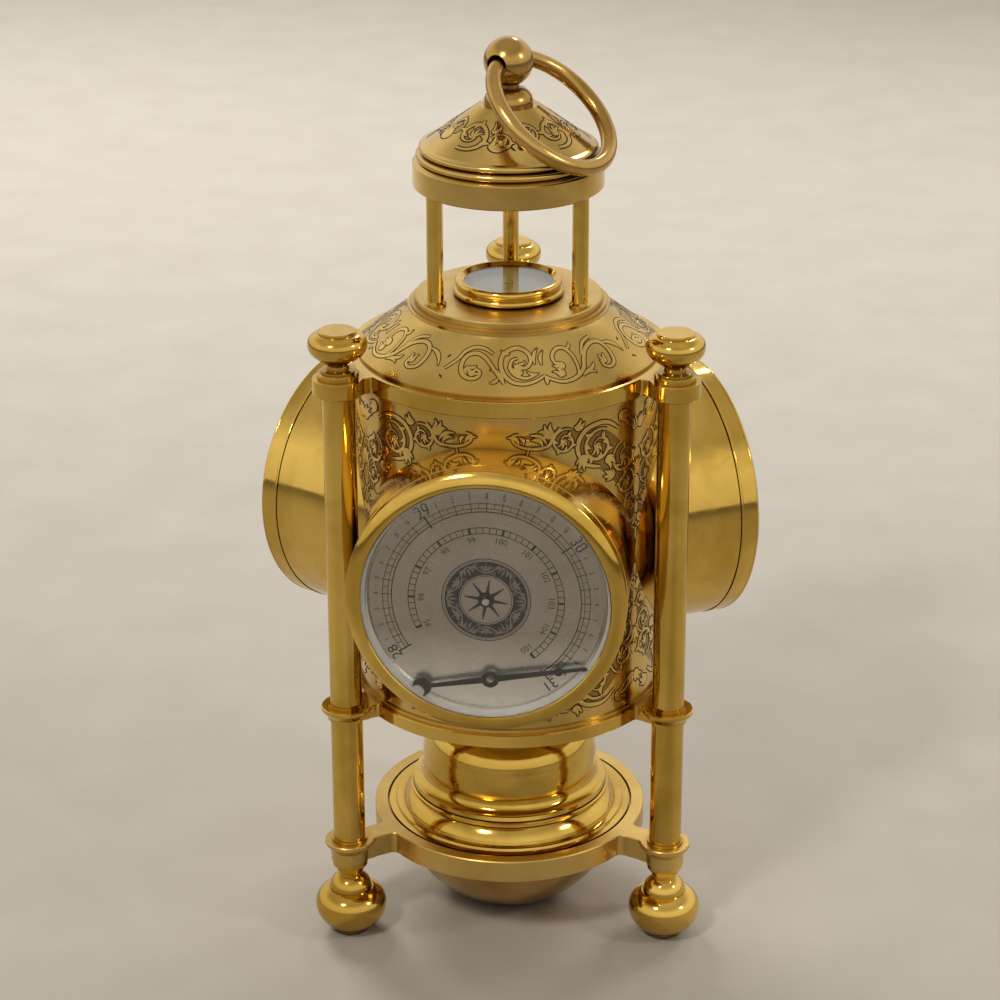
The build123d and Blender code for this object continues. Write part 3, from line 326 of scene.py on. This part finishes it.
class Relief:
    """Closed thin strokes, flat or ridged, gathered into one mesh."""

    sunk = 0.06

    def __init__(self, place):
        self.place = place
        self.points, self.faces, self.slots = [], [], []

    def stroke(self, line, widths, top, slot, shoulder=None):
        """A band along a line of (x, y) points, flat, or rising from its shoulders to a ridge.
        widths is one number or a function of the share 0 to 1."""
        count = len(line)
        base = len(self.points)
        ring = 4 if shoulder is None else 5
        for index, (x, y) in enumerate(line):
            before, after = line[max(index - 1, 0)], line[min(index + 1, count - 1)]
            dx, dy = after[0] - before[0], after[1] - before[1]
            size = math.hypot(dx, dy) or 1.0
            width = widths(index / (count - 1)) if callable(widths) else widths
            nx, ny = -dy / size * width / 2, dx / size * width / 2
            left, right = (x + nx, y + ny), (x - nx, y - ny)
            edge = top if shoulder is None else shoulder
            section = [(*left, -self.sunk), (*left, edge), (*right, edge), (*right, -self.sunk)]
            if shoulder is not None:
                section.insert(2, (x, y, top))
            self.points.extend(self.place(*point) for point in section)
        for index in range(count - 1):
            for side in range(ring):
                a = base + index * ring + side
                b = base + index * ring + (side + 1) % ring
                self.faces.append((a, b, b + ring, a + ring))
        self.faces.append(tuple(base + side for side in reversed(range(ring))))
        self.faces.append(tuple(base + (count - 1) * ring + side for side in range(ring)))
        self.slots.extend([slot] * (len(self.faces) - len(self.slots)))

    def text(self, words, x, y, size, turn, top, slot):
        """Digits centred at a point and turned clockwise."""
        curve = bpy.data.curves.new("digits", "FONT")
        curve.body, curve.size = words, size
        curve.align_x, curve.align_y = "CENTER", "CENTER"
        curve.extrude = top / 2
        curve.resolution_u = 3
        obj = bpy.data.objects.new("digits", curve)
        mesh = bpy.data.meshes.new_from_object(obj)
        base = len(self.points)
        c, s = cos(rad(turn)), sin(rad(turn))
        for vertex in mesh.vertices:
            px, py, pz = vertex.co
            self.points.append(self.place(x + px * c + py * s, y - px * s + py * c, pz + top / 2))
        self.faces.extend(tuple(base + corner for corner in polygon.vertices) for polygon in mesh.polygons)
        self.slots.extend([slot] * (len(self.faces) - len(self.slots)))
        bpy.data.objects.remove(obj)
        bpy.data.curves.remove(curve)
        bpy.data.meshes.remove(mesh)

    def build(self, name, materials, body, slot_name):
        mesh = bpy.data.meshes.new(name)
        mesh.from_pydata(self.points, [], self.faces)
        for material in materials:
            mesh.materials.append(material)
        mesh.polygons.foreach_set("material_index", self.slots)
        shape = bmesh.new()
        shape.from_mesh(mesh)
        bmesh.ops.remove_doubles(shape, verts=shape.verts, dist=1e-7)
        bmesh.ops.dissolve_degenerate(shape, edges=shape.edges, dist=1e-7)
        bmesh.ops.recalc_face_normals(shape, faces=shape.faces)
        shape.to_mesh(mesh)
        shape.free()
        obj = bpy.data.objects.new(name, mesh)
        bpy.context.collection.objects.link(obj)
        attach(obj, body)
        return obj


def circle_point(radius, angle):
    """Point at an angle clockwise from twelve."""
    return radius * sin(rad(angle)), radius * cos(rad(angle))


def ring_line(radius, start, end, step=3.0):
    count = max(int(abs(end - start) / step), 2)
    return [circle_point(radius, start + (end - start) * k / count) for k in range(count + 1)]


def volute(cx, cy, radius, start, hand, turns=1.35, inner=0.26, count=30):
    """Spiral that starts at an angle counted from +x and winds inwards."""
    line = []
    for k in range(count + 1):
        share = k / count
        r = radius * (1 - (1 - inner) * share**1.15)
        angle = rad(start + hand * 360 * turns * share)
        line.append((cx + r * cos(angle), cy + r * sin(angle)))
    return line


def between(a, b, c, d, t):
    """Value at a share t of the way from b to c, smooth with a before and d after."""
    square = (2 * a - 5 * b + 4 * c - d) * t**2
    cube = (3 * b - a - 3 * c + d) * t**3
    return 0.5 * (2 * b + (c - a) * t + square + cube)


def spline(points, each=5):
    """Smooth line through points."""
    line = []
    for k in range(len(points) - 1):
        p0, p1 = points[max(k - 1, 0)], points[k]
        p2, p3 = points[k + 1], points[min(k + 2, len(points) - 1)]
        for step in range(each):
            t = step / each
            line.append(tuple(between(*four, t) for four in zip(p0, p1, p2, p3)))
    line.append(points[-1])
    return line


def bow(start, end, bend, count=8):
    """Bent line between two points; bend is its sideways reach as a share of its length."""
    (x0, y0), (x1, y1) = start, end
    mx, my = (x0 + x1) / 2 - (y1 - y0) * bend, (y0 + y1) / 2 + (x1 - x0) * bend
    line = []
    for k in range(count + 1):
        t = k / count
        line.append((
            (1 - t) ** 2 * x0 + 2 * t * (1 - t) * (2 * mx - (x0 + x1) / 2) + t * t * x1,
            (1 - t) ** 2 * y0 + 2 * t * (1 - t) * (2 * my - (y0 + y1) / 2) + t * t * y1,
        ))
    return line


def lens(width, full=0.4):
    """Width that grows to its most at a share of the length and runs out at both ends."""
    return lambda t: max(width * (sin(pi * t ** (math.log(0.5) / math.log(full)))), 0.02)


def taper(first, last):
    return lambda t: first + (last - first) * t


class Chasing(Relief):
    """Scrolls and leaves cut as dark lines around bands of brass; each band lies a little over the last."""

    dark, bright, shade = 0, 1, 2
    ground_height = 0.012
    first_height = 0.02
    layer_height = 0.0012
    shoulder_height = 0.006
    ridge_height = 0.045
    line_height = 0.05

    def __init__(self, place, cut):
        super().__init__(place)
        self.cut = cut
        self.mirror = self.flip = 1
        self.layer = 0

    def on(self, place, mirror=1, flip=1):
        self.place, self.mirror, self.flip, self.layer = place, mirror, flip, 0
        return self

    def turned(self, line):
        return [(self.mirror * x, self.flip * y) for x, y in line]

    def next_level(self):
        self.layer += 1
        return self.first_height + self.layer_height * self.layer

    def chase(self, line, width):
        """A band of brass with a dark line along both sides."""
        line = self.turned(line)
        level = self.next_level()
        outer = (lambda t: width(t) + 2 * self.cut) if callable(width) else width + 2 * self.cut
        self.stroke(line, outer, level, self.dark)
        shoulder = level + self.shoulder_height
        self.stroke(line, width, level + self.ridge_height, self.bright, shoulder)

    def line(self, line, width):
        """A single dark line."""
        level = self.next_level()
        self.stroke(self.turned(line), width, level + self.line_height, self.dark)

    def ground(self, points, reaches):
        """Darkened brass under the foliage, painted shade and partly tarnish: bands side by side, so that
        they follow the curved wall.
        """
        line = self.turned(spline(points, 4))
        spans = spline([(reach, 0.0) for reach in reaches], 4)
        count = 6
        for band in range(-count, count + 1):
            shifted = []
            for index, (x, y) in enumerate(line):
                before, after = line[max(index - 1, 0)], line[min(index + 1, len(line) - 1)]
                dx, dy = after[0] - before[0], after[1] - before[1]
                off = spans[index][0] * band / count / math.hypot(dx, dy)
                shifted.append((x - dy * off, y + dx * off))
            last = len(spans) - 1
            overlap = 1.05
            self.stroke(
                shifted, lambda t: spans[round(t * last)][0] / count * overlap, self.ground_height, self.shade
            )

    def flow(self, points, width):
        """A stem through points that swells in its middle and thins at its ends."""
        self.chase(spline(points, 6), lambda t: width * (0.45 + 0.55 * sin(pi * t) ** 0.6))

    def leaf(self, base, tip, bend, width, full=0.45):
        self.chase(bow(base, tip, bend), lens(width, full))

    def spray(self, x, y, facing, hand, reach, count=3, spread=0.75):
        """Leaves that fan out from one point, curled to one side, the outer ones shorter."""
        order = sorted(range(count), key=lambda k: -abs(k - (count - 1) / 2))
        for k in order:
            off = k - (count - 1) / 2
            away = facing + hand * off * spread
            size = reach * (1 - 0.16 * abs(off))
            tip = (x + size * cos(away), y + size * sin(away))
            self.leaf((x, y), tip, 0.26 * hand, 0.30 * size)

    def scroll(
        self, cx, cy, radius, start, hand, turns=1.25, backs=(0.1, 0.3, 0.5, 0.68), band=0.17, lobes=4
    ):
        """A curling stem with small leaves on its back and inside it, and a fan of lobes at its eye."""
        line = volute(cx, cy, radius, start, hand, turns, inner=0.3)
        last = len(line) - 1
        for share in backs:
            x, y = line[int(share * last)]
            nx, ny = line[int(share * last) + 2]
            ahead = math.atan2(ny - y, nx - x)
            self.leaf((x, y), (
                x + 0.62 * radius * cos(ahead - hand * 0.62), y + 0.62 * radius * sin(ahead - hand * 0.62)
            ), 0.28 * hand, 0.24 * radius, 0.55)
        for share in (0.22, 0.42, 0.6):
            x, y = line[int(share * last)]
            nx, ny = line[int(share * last) + 2]
            ahead = math.atan2(ny - y, nx - x)
            self.leaf((x, y), (
                x + 0.5 * radius * cos(ahead + hand * 0.75), y + 0.5 * radius * sin(ahead + hand * 0.75)
            ), -0.25 * hand, 0.2 * radius, 0.5)
        ex, ey = line[-1]
        facing = math.atan2(ey - line[-3][1], ex - line[-3][0])
        self.spray(ex, ey, facing + hand * 0.5, hand, 0.62 * radius, lobes)
        self.chase(line, lambda t: band * radius * (0.4 + 0.6 * sin(pi * min(t * 1.1 + 0.1, 1.0)) ** 0.7))


def roof_panel(art, place):
    """Two arches and two larger scrolls about a pair of upright leaves."""
    art.on(place)
    art.leaf((-12.2, -4.2), (-16.2, -0.2), -0.25, 1.3)
    art.leaf((-13.6, -2.6), (-15.8, -4.4), 0.2, 1.0)
    art.flow([(-15.4, 5.0), (-18.2, 6.6), (-21.7, 6.9), (-24.6, 5.2), (-26.2, 2.2), (-29.0, -1.2)], 1.0)
    art.spray(-22.6, 0.6, rad(-30), -1, 3.4, 3)
    art.spray(-20.6, -2.6, rad(60), 1, 2.8, 3)
    art.flow([
        (-11.9, -4.6), (-13.7, -1.7), (-15.7, 1.3), (-18.0, 3.9), (-20.7, 5.0), (-23.2, 4.2), (-24.4, 2.0),
        (-24.1, -0.8), (-22.8, -2.7), (-20.6, -3.4), (-18.9, -2.5), (-18.8, -0.9), (-20.3, 0.1),
    ], 1.15)
    art.leaf((-3.2, 1.4), (-1.3, 6.9), 0.15, 1.1)
    art.leaf((-1.2, 1.0), (0.3, 6.0), 0.15, 1.0)
    art.spray(-9.6, -1.6, rad(75), -1, 4.0, 4, 0.55)
    art.spray(-8.4, 2.0, rad(-20), -1, 3.2, 3)
    art.flow([(-3.4, -1.8), (-6.2, -2.9), (-9.0, -1.7), (-10.4, 0.7), (-9.8, 3.0), (-8.0, 3.8)], 0.95)
    art.leaf((-2.4, -1.4), (-5.8, -0.4), 0.25, 0.9)
    art.leaf((-10.2, 5.4), (-13.4, 6.6), 0.2, 1.0)
    art.flow([
        (-1.1, -2.3), (-3.8, -3.9), (-6.8, -4.7), (-9.8, -4.0), (-12.0, -1.6), (-13.1, 1.6), (-12.6, 4.7),
        (-10.3, 6.6), (-7.5, 7.1), (-4.9, 5.5), (-4.2, 3.0), (-5.4, 0.9), (-7.2, 0.5), (-8.4, 1.5),
    ], 1.15)
    art.flow([(12.0, 2.4), (14.6, 6.0), (18.8, 7.4)], 0.9)
    art.leaf((21.6, 4.2), (27.2, -1.0), 0.2, 1.2)
    art.leaf((9.2, -4.4), (13.8, -4.2), 0.25, 1.1)
    art.leaf((10.8, -2.6), (14.4, -0.6), -0.2, 1.0)
    art.spray(19.0, -1.4, rad(120), 1, 3.0, 3)
    art.spray(4.6, 1.4, rad(-150), 1, 3.4, 4, 0.6)
    art.spray(3.0, -3.4, rad(100), -1, 3.4, 3, 0.6)
    art.flow([
        (8.3, -3.4), (9.1, -0.7), (8.9, 3.2), (7.0, 5.8), (4.3, 5.6), (2.5, 3.5), (3.0, 1.1), (5.0, 1.0),
    ], 1.0)
    art.leaf((7.6, 5.2), (9.8, 7.4), -0.2, 0.9)
    art.flow([
        (-1.3, -2.4), (1.1, -4.1), (3.9, -5.0), (7.4, -4.2), (10.5, -1.8), (12.2, 1.3), (14.5, 4.0),
        (18.0, 5.4), (20.8, 4.7), (22.0, 2.5), (21.9, -0.1), (20.9, -2.6), (18.6, -3.6), (17.0, -2.5),
        (17.5, -0.8),
    ], 1.15)
    art.leaf((-1.1, -2.6), (-1.1, -5.4), 0.1, 1.0)


def roof_dots(art, place):
    """Two short marks between the panels."""
    art.on(place)
    art.line(bow((-0.5, -3.4), (0.7, -4.6), 0.1), lens(0.6))
    art.line(bow((0.4, 3.6), (-0.6, 2.4), 0.1), lens(0.6))


def canopy_panel(art, place):
    """One large scroll between leaf sprays."""
    art.on(place)
    art.spray(-7.6, -2.0, rad(150), 1, 6.2, 4, 0.5)
    art.spray(5.2, -3.0, rad(38), -1, 5.6, 3, 0.7)
    art.spray(4.8, 1.8, rad(60), -1, 4.2, 2, 0.8)
    art.scroll(8.2, -1.8, 3.2, 150, -1, turns=1.1, backs=(0.3,), band=0.21, lobes=3)
    art.scroll(-9.2, 1.6, 3.2, -60, 1, turns=1.1, backs=(0.3,), band=0.21, lobes=3)
    art.scroll(-0.8, 0.0, 5.4, -110, 1, turns=1.25, backs=(0.14, 0.34, 0.54), band=0.20)


def canopy_marks(art, place):
    art.on(place)
    for side in (-0.7, 0.9):
        art.line(bow((side, -4.4), (side - 1.0, -2.6), 0.15), lens(0.6))


def shell_spandrel(art):
    """Foliage that grows from a curled tip over the drum into the corner and runs down beside the column."""
    # Painted shade, partly tarnish, as a dark ground under the foliage
    art.ground([
        (7.6, 42.6), (14.0, 42.0), (20.0, 41.6), (26.0, 40.2), (31.4, 37.0), (36.2, 32.6),
        (40.4, 27.0), (43.0, 21.0), (44.6, 15.0), (45.6, 8.0), (46.0, 1.5),
    ], (0.3, 1.0, 2.2, 3.4, 4.6, 4.6, 3.6, 2.4, 1.6, 1.2, 0.6))
    art.spray(45.0, 4.4, rad(-100), 1, 3.6, 3, 0.6)
    art.spray(44.2, 9.6, rad(-70), -1, 4.4, 4, 0.5)
    art.spray(45.6, 12.4, rad(-110), 1, 4.0, 3, 0.5)
    art.spray(42.4, 17.6, rad(-120), 1, 4.6, 4, 0.5)
    art.scroll(44.4, 16.6, 3.0, 100, 1, lobes=3)
    art.scroll(41.8, 23.4, 4.0, 80, -1)
    art.spray(36.8, 28.6, rad(-150), 1, 4.4, 4, 0.5)
    art.spray(45.6, 25.0, rad(70), -1, 5.0, 4, 0.5)
    art.scroll(41.4, 31.4, 5.0, 110, 1)
    art.spray(45.0, 38.4, rad(100), -1, 4.6, 4, 0.5)
    art.spray(39.2, 42.6, rad(10), 1, 5.0, 4, 0.5)
    art.flow([
        (38.5, 40.9), (35.2, 43.2), (31.8, 43.9), (27.2, 42.7),
        (24.7, 39.2), (25.0, 35.5), (27.4, 32.2), (32.0, 30.7),
    ], 1.25)
    art.scroll(31.6, 37.0, 5.2, 60, 1, turns=1.35)
    art.spray(28.0, 33.6, rad(-150), -1, 4.6, 4, 0.5)
    art.spray(33.6, 31.6, rad(-20), 1, 4.4, 3, 0.6)
    art.scroll(20.7, 40.2, 3.9, 65, 1, turns=1.3)
    art.spray(17.6, 43.2, rad(150), 1, 4.4, 4, 0.5)
    art.spray(23.4, 44.2, rad(20), -1, 3.6, 3, 0.5)
    stem = spline([
        (19.4, 44.4), (17.4, 42.2), (15.7, 39.4), (11.8, 38.9),
        (8.2, 39.6), (6.0, 41.2), (5.8, 42.9), (7.4, 43.4),
    ])
    for index, hand in ((7, -1), (12, -1), (17, 1), (21, -1)):
        x, y = stem[index]
        art.leaf((x, y), (x - 3.6, y - hand * 2.4), 0.3 * hand, 1.1, 0.55)
    art.chase(stem, lambda t: 1.0 * (1 - 0.5 * t))
    art.leaf((15.4, 39.9), (10.4, 42.9), -0.2, 1.1, 0.5)
    art.leaf((17.0, 42.2), (12.8, 43.7), -0.2, 1.0, 0.5)
    art.leaf((8.6, 39.9), (7.6, 42.4), -0.3, 0.9, 0.6)


chased_materials = (groove, raised, shaded)

art = Chasing(None, 0.30)
for panel in range(4):
    roof_panel(art, on_cone(*roof_cone, 18 + 90 * panel))
    roof_dots(art, on_cone(*roof_cone, 63 + 90 * panel))
art.build("roof_engraving", chased_materials, "stand", "engraved_brass")

art = Chasing(None, 0.42)
for panel in range(4):
    canopy_panel(art, on_cone(*canopy_cone, -35 + 90 * panel))
    canopy_marks(art, on_cone(*canopy_cone, 10 + 90 * panel))
art.build("canopy_engraving", chased_materials, "stand", "engraved_brass")

art = Chasing(None, 0.34)
for angle in drum_angles.values():
    for mirror in (1, -1):
        for flip in (1, -1):
            shell_spandrel(art.on(on_barrel(shell_radius, drum_level, angle), mirror, flip))
art.build("shell_engraving", chased_materials, "stand", "engraved_brass")


# Dial prints

print_top = 0.03
black, pale = 0, 1


def wreath(art):
    """Round ornament in the middle of a dial: rings, a leafy band and an eight-pointed star."""
    band, reach_out = 9.6, 1.4
    art.stroke(ring_line(12.45, 0, 360), 0.26, print_top, black)
    art.stroke(ring_line(12.0, 0, 360), 0.12, print_top, black)
    art.stroke(ring_line(7.15, 0, 360), 0.20, print_top, black)
    art.stroke(ring_line(band, 0, 360), 4.1, print_top / 2, black)
    units = 12
    for unit in range(units):
        middle = 360 / units * unit
        side = 1 if unit % 2 else -1
        half = 180 / units
        wave = [
            circle_point(band + side * reach_out * cos(rad(k * 90 / 6)), middle + half * k / 6)
            for k in range(-6, 7)
        ]
        art.stroke(wave, 0.42, print_top, pale)
        for k, reach in ((-2, 0.3), (-1, 0.9), (0, 1.5), (1, 0.9), (2, 0.3)):
            root = circle_point(band + side * 1.0, middle + k * half * 0.15)
            tip = circle_point(band - side * reach, middle + k * half * 0.5)
            art.stroke(bow(root, tip, 0.2 * k), lens(0.62), print_top, pale)
        curl = circle_point(band + side * 1.3, middle + half)
        art.stroke(ring_around(curl, 0.45), 0.22, print_top, pale)
    for ray in range(8):
        turn = 9 + 45 * ray
        art.stroke([circle_point(r, turn) for r in (0.9, 6.2)], taper(1.3, 0.3), print_top, black)
    art.stroke(ring_line(1.5, 0, 360, 12), 1.7, print_top, black)


def ring_around(centre, radius, count=10):
    return [
        (centre[0] + radius * cos(2 * pi * k / count), centre[1] + radius * sin(2 * pi * k / count))
        for k in range(count + 1)
    ]


def tick(art, inner, outer, angle, width):
    art.stroke([circle_point(inner, angle), circle_point(outer, angle)], width, print_top, black)


def number(art, words, radius, angle, size):
    art.text(words, *circle_point(radius, angle), size, angle, print_top, black)


def barometer_print(art):
    """Scales in inches and kilopascals; a unit and a first mark are angles clockwise from twelve."""
    wreath(art)
    inch, kilopascal, first_inch, first_kilopascal = 89.4, 25.75, -124.6, -115.5
    for radius, width in ((26.6, 0.30), (27.6, 0.20), (29.1, 0.20)):
        art.stroke(ring_line(radius, first_inch, first_inch + 3 * inch), width, print_top, black)
    for tenth in range(31):
        angle = first_inch + tenth * inch / 10
        whole = tenth % 10 == 0
        tick(art, 25.7 if whole else 26.6, 29.6, angle, 0.45 if whole else 0.24)
        if whole:
            number(art, str(28 + tenth // 10), 30.9, angle + 1.0, 4.4)
        else:
            number(art, str(tenth % 10), 30.9, angle, 2.0)
            tick(art, 27.6, 29.1, angle - inch / 20, 0.18)
    last_kilopascal = first_kilopascal + 10 * kilopascal
    for radius in (20.1, 21.9):
        art.stroke(ring_line(radius, first_kilopascal, last_kilopascal), 0.24, print_top, black)
    for fifth in range(51):
        angle = first_kilopascal + fifth * kilopascal / 5
        whole = fifth % 5 == 0
        tick(art, 20.1, 21.9, angle, 0.75 if whole else 0.24)
        if whole:
            number(art, str(95 + fifth // 5), 18.2, angle, 2.5)


def clock_print(art):
    wreath(art)
    for radius in (27.2, 29.1):
        art.stroke(ring_line(radius, 0, 360), 0.16, print_top, black)
    for minute in range(60):
        hour = minute % 5 == 0
        tick(art, 27.2, 29.1, 6 * minute, 0.6 if hour else 0.14)
        if hour:
            number(art, str(minute // 5 or 12), 22.6, 6 * minute, 5.2)
            number(art, str(minute or 60), 30.9, 6 * minute, 1.5)


def thermometer_print(art):
    wreath(art)
    degree, lowest, span = 2.9, -30, 80
    start = -span / 2 * degree
    for radius, width in ((26.6, 0.16), (27.6, 0.14), (29.1, 0.16)):
        art.stroke(ring_line(radius, start, -start), width, print_top, black)
    for index in range(span + 1):
        angle = start + index * degree
        ten, five = index % 10 == 0, index % 5 == 0
        tick(art, 25.9 if ten else 27.6, 30.2 if five else 29.1, angle, 0.3 if ten else 0.14)
        if ten:
            number(art, str(lowest + index), 22.8, angle, 3.2)
    for radius in (19.2, 20.4):
        art.stroke(ring_line(radius, start, -start), 0.15, print_top, black)
    for index in range(0, span + 1, 2):
        tick(art, 19.2, 20.4, start + index * degree, 0.14)


dial_prints = {"barometer": barometer_print, "clock": clock_print, "thermometer": thermometer_print}
for drum, draw in dial_prints.items():
    art = Relief(on_disc(drum_angles[drum], dial_face, drum_level))
    art.sunk = 0.0
    draw(art)
    art.build(drum + "_print", (ink, pale_print), drum + "_insert", "blackened_steel")


# Stage, light and camera


def floor():
    """Plain pale floor just under the feet."""
    mesh = bpy.data.meshes.new("floor")
    reach, drop = 6.0, 0.0001
    corners = [(-reach, -reach, 0), (reach, -reach, 0), (reach, reach, 0), (-reach, reach, 0)]
    mesh.from_pydata(corners, [], [(0, 1, 2, 3)])
    obj = bpy.data.objects.new("floor", mesh)
    bpy.context.collection.objects.link(obj)
    obj.location.z = -drop
    s = Shader("floor_paint")
    paper = s.noise(30.0, 3.0)
    s.set(
        Base_Color=s.ramp(paper, [(0.3, rgb(0.56, 0.52, 0.46)), (0.7, rgb(0.60, 0.56, 0.50))]),
        Roughness=0.9,
        Specular_IOR_Level=0.15,
    )
    dress(obj, s.material)


def studio_world():
    """Pale surroundings for the camera, mirrors and glass, brightest over the horizon, and soft light."""
    world = bpy.data.worlds.new("studio")
    bpy.context.scene.world = world
    world.use_nodes = True
    tree = world.node_tree
    for node in list(tree.nodes):
        tree.nodes.remove(node)
    out = tree.nodes.new("ShaderNodeOutputWorld")
    mix = tree.nodes.new("ShaderNodeMixShader")
    seen = tree.nodes.new("ShaderNodeBackground")
    lit = tree.nodes.new("ShaderNodeBackground")
    path = tree.nodes.new("ShaderNodeLightPath")
    shown = path.outputs["Is Camera Ray"]
    for kind in ("Is Glossy Ray", "Is Transmission Ray"):
        either = tree.nodes.new("ShaderNodeMath")
        either.operation = "MAXIMUM"
        tree.links.new(shown, either.inputs[0])
        tree.links.new(path.outputs[kind], either.inputs[1])
        shown = either.outputs[0]
    direction = tree.nodes.new("ShaderNodeTexCoord")
    parts = tree.nodes.new("ShaderNodeSeparateXYZ")
    sky = tree.nodes.new("ShaderNodeValToRGB")
    tree.links.new(direction.outputs["Generated"], parts.inputs["Vector"])
    tree.links.new(parts.outputs["Z"], sky.inputs["Fac"])
    sky_stops = (
        (0.0, rgb(0.84, 0.79, 0.71)),
        (0.45, rgb(1.0, 0.95, 0.86)),
        (0.75, rgb(0.52, 0.48, 0.42)),
        (1.0, rgb(0.66, 0.61, 0.54)),
    )
    sky.color_ramp.elements[0].position, sky.color_ramp.elements[0].color = sky_stops[0]
    sky.color_ramp.elements[1].position, sky.color_ramp.elements[1].color = sky_stops[-1]
    for stop, colour in sky_stops[1:-1]:
        sky.color_ramp.elements.new(stop).color = colour
    tree.links.new(sky.outputs["Color"], seen.inputs["Color"])
    seen.inputs["Strength"].default_value = 1.0
    lit.inputs["Color"].default_value = rgb(0.72, 0.68, 0.62)
    lit.inputs["Strength"].default_value = 0.30
    tree.links.new(shown, mix.inputs[0])
    tree.links.new(lit.outputs[0], mix.inputs[1])
    tree.links.new(seen.outputs[0], mix.inputs[2])
    tree.links.new(mix.outputs[0], out.inputs[0])


def area(name, place, target, size, power, mirrored, colour=(1.0, 0.97, 0.92)):
    """Round soft lamp, in metres and watts; the brass shows its image only if it is mirrored."""
    light = bpy.data.lights.new(name, "AREA")
    light.shape = "DISK"
    light.size = size
    light.energy = power
    light.color = colour
    obj = bpy.data.objects.new(name, light)
    bpy.context.collection.objects.link(obj)
    obj.location = place
    obj.rotation_mode = "QUATERNION"
    obj.rotation_quaternion = (Vector(target) - Vector(place)).to_track_quat("-Z", "Y")
    obj.visible_glossy = mirrored


floor()
studio_world()
area("rear_left", (-0.50, 1.00, 0.85), (0, 0.1, 0.08), 0.60, 10.0, False)
area("rear_right", (0.70, 0.80, 0.70), (0, 0.1, 0.08), 0.50, 4.0, False)
area("front_left", (-0.50, -0.80, 1.10), (0, 0, 0.14), 0.20, 4.4, True)
area("front_right", (0.95, -0.35, 0.75), (0, 0, 0.14), 0.16, 1.7, True)
area("rear_glint", (0.25, 1.00, 0.90), (0, 0, 0.14), 0.14, 1.2, True)


def photo_camera():
    """The photograph's camera: its turns, its distance from a point in the object, its focal length."""
    yaw, elevation, roll = rad(1.681), rad(22.984), rad(-0.151)
    distance, focal_px, side, height = 0.87853, 2968.61, -0.002677, 0.129994
    right = Vector((1, 0, 0))
    up = Vector((0, sin(elevation), cos(elevation)))
    back = Vector((0, -cos(elevation), sin(elevation)))
    place = Vector((side, 0, height)) + back * distance
    rolled_right = cos(roll) * right + sin(roll) * up
    rolled_up = cos(roll) * up - sin(roll) * right
    axes = Matrix((rolled_right, rolled_up, back)).transposed()
    turn = Matrix.Rotation(yaw, 3, "Z")
    camera = bpy.data.objects.new("camera", bpy.data.cameras.new("camera"))
    bpy.context.collection.objects.link(camera)
    camera.matrix_world = Matrix.Translation(turn @ place) @ (turn @ axes).to_4x4()
    sensor_width, image_width = 36.0, 1000
    camera.data.sensor_width = sensor_width
    camera.data.lens = focal_px * sensor_width / image_width
    camera.data.clip_start, camera.data.clip_end = 0.01, 50.0
    bpy.context.scene.camera = camera


photo_camera()
bpy.context.scene.view_settings.view_transform = "Standard"
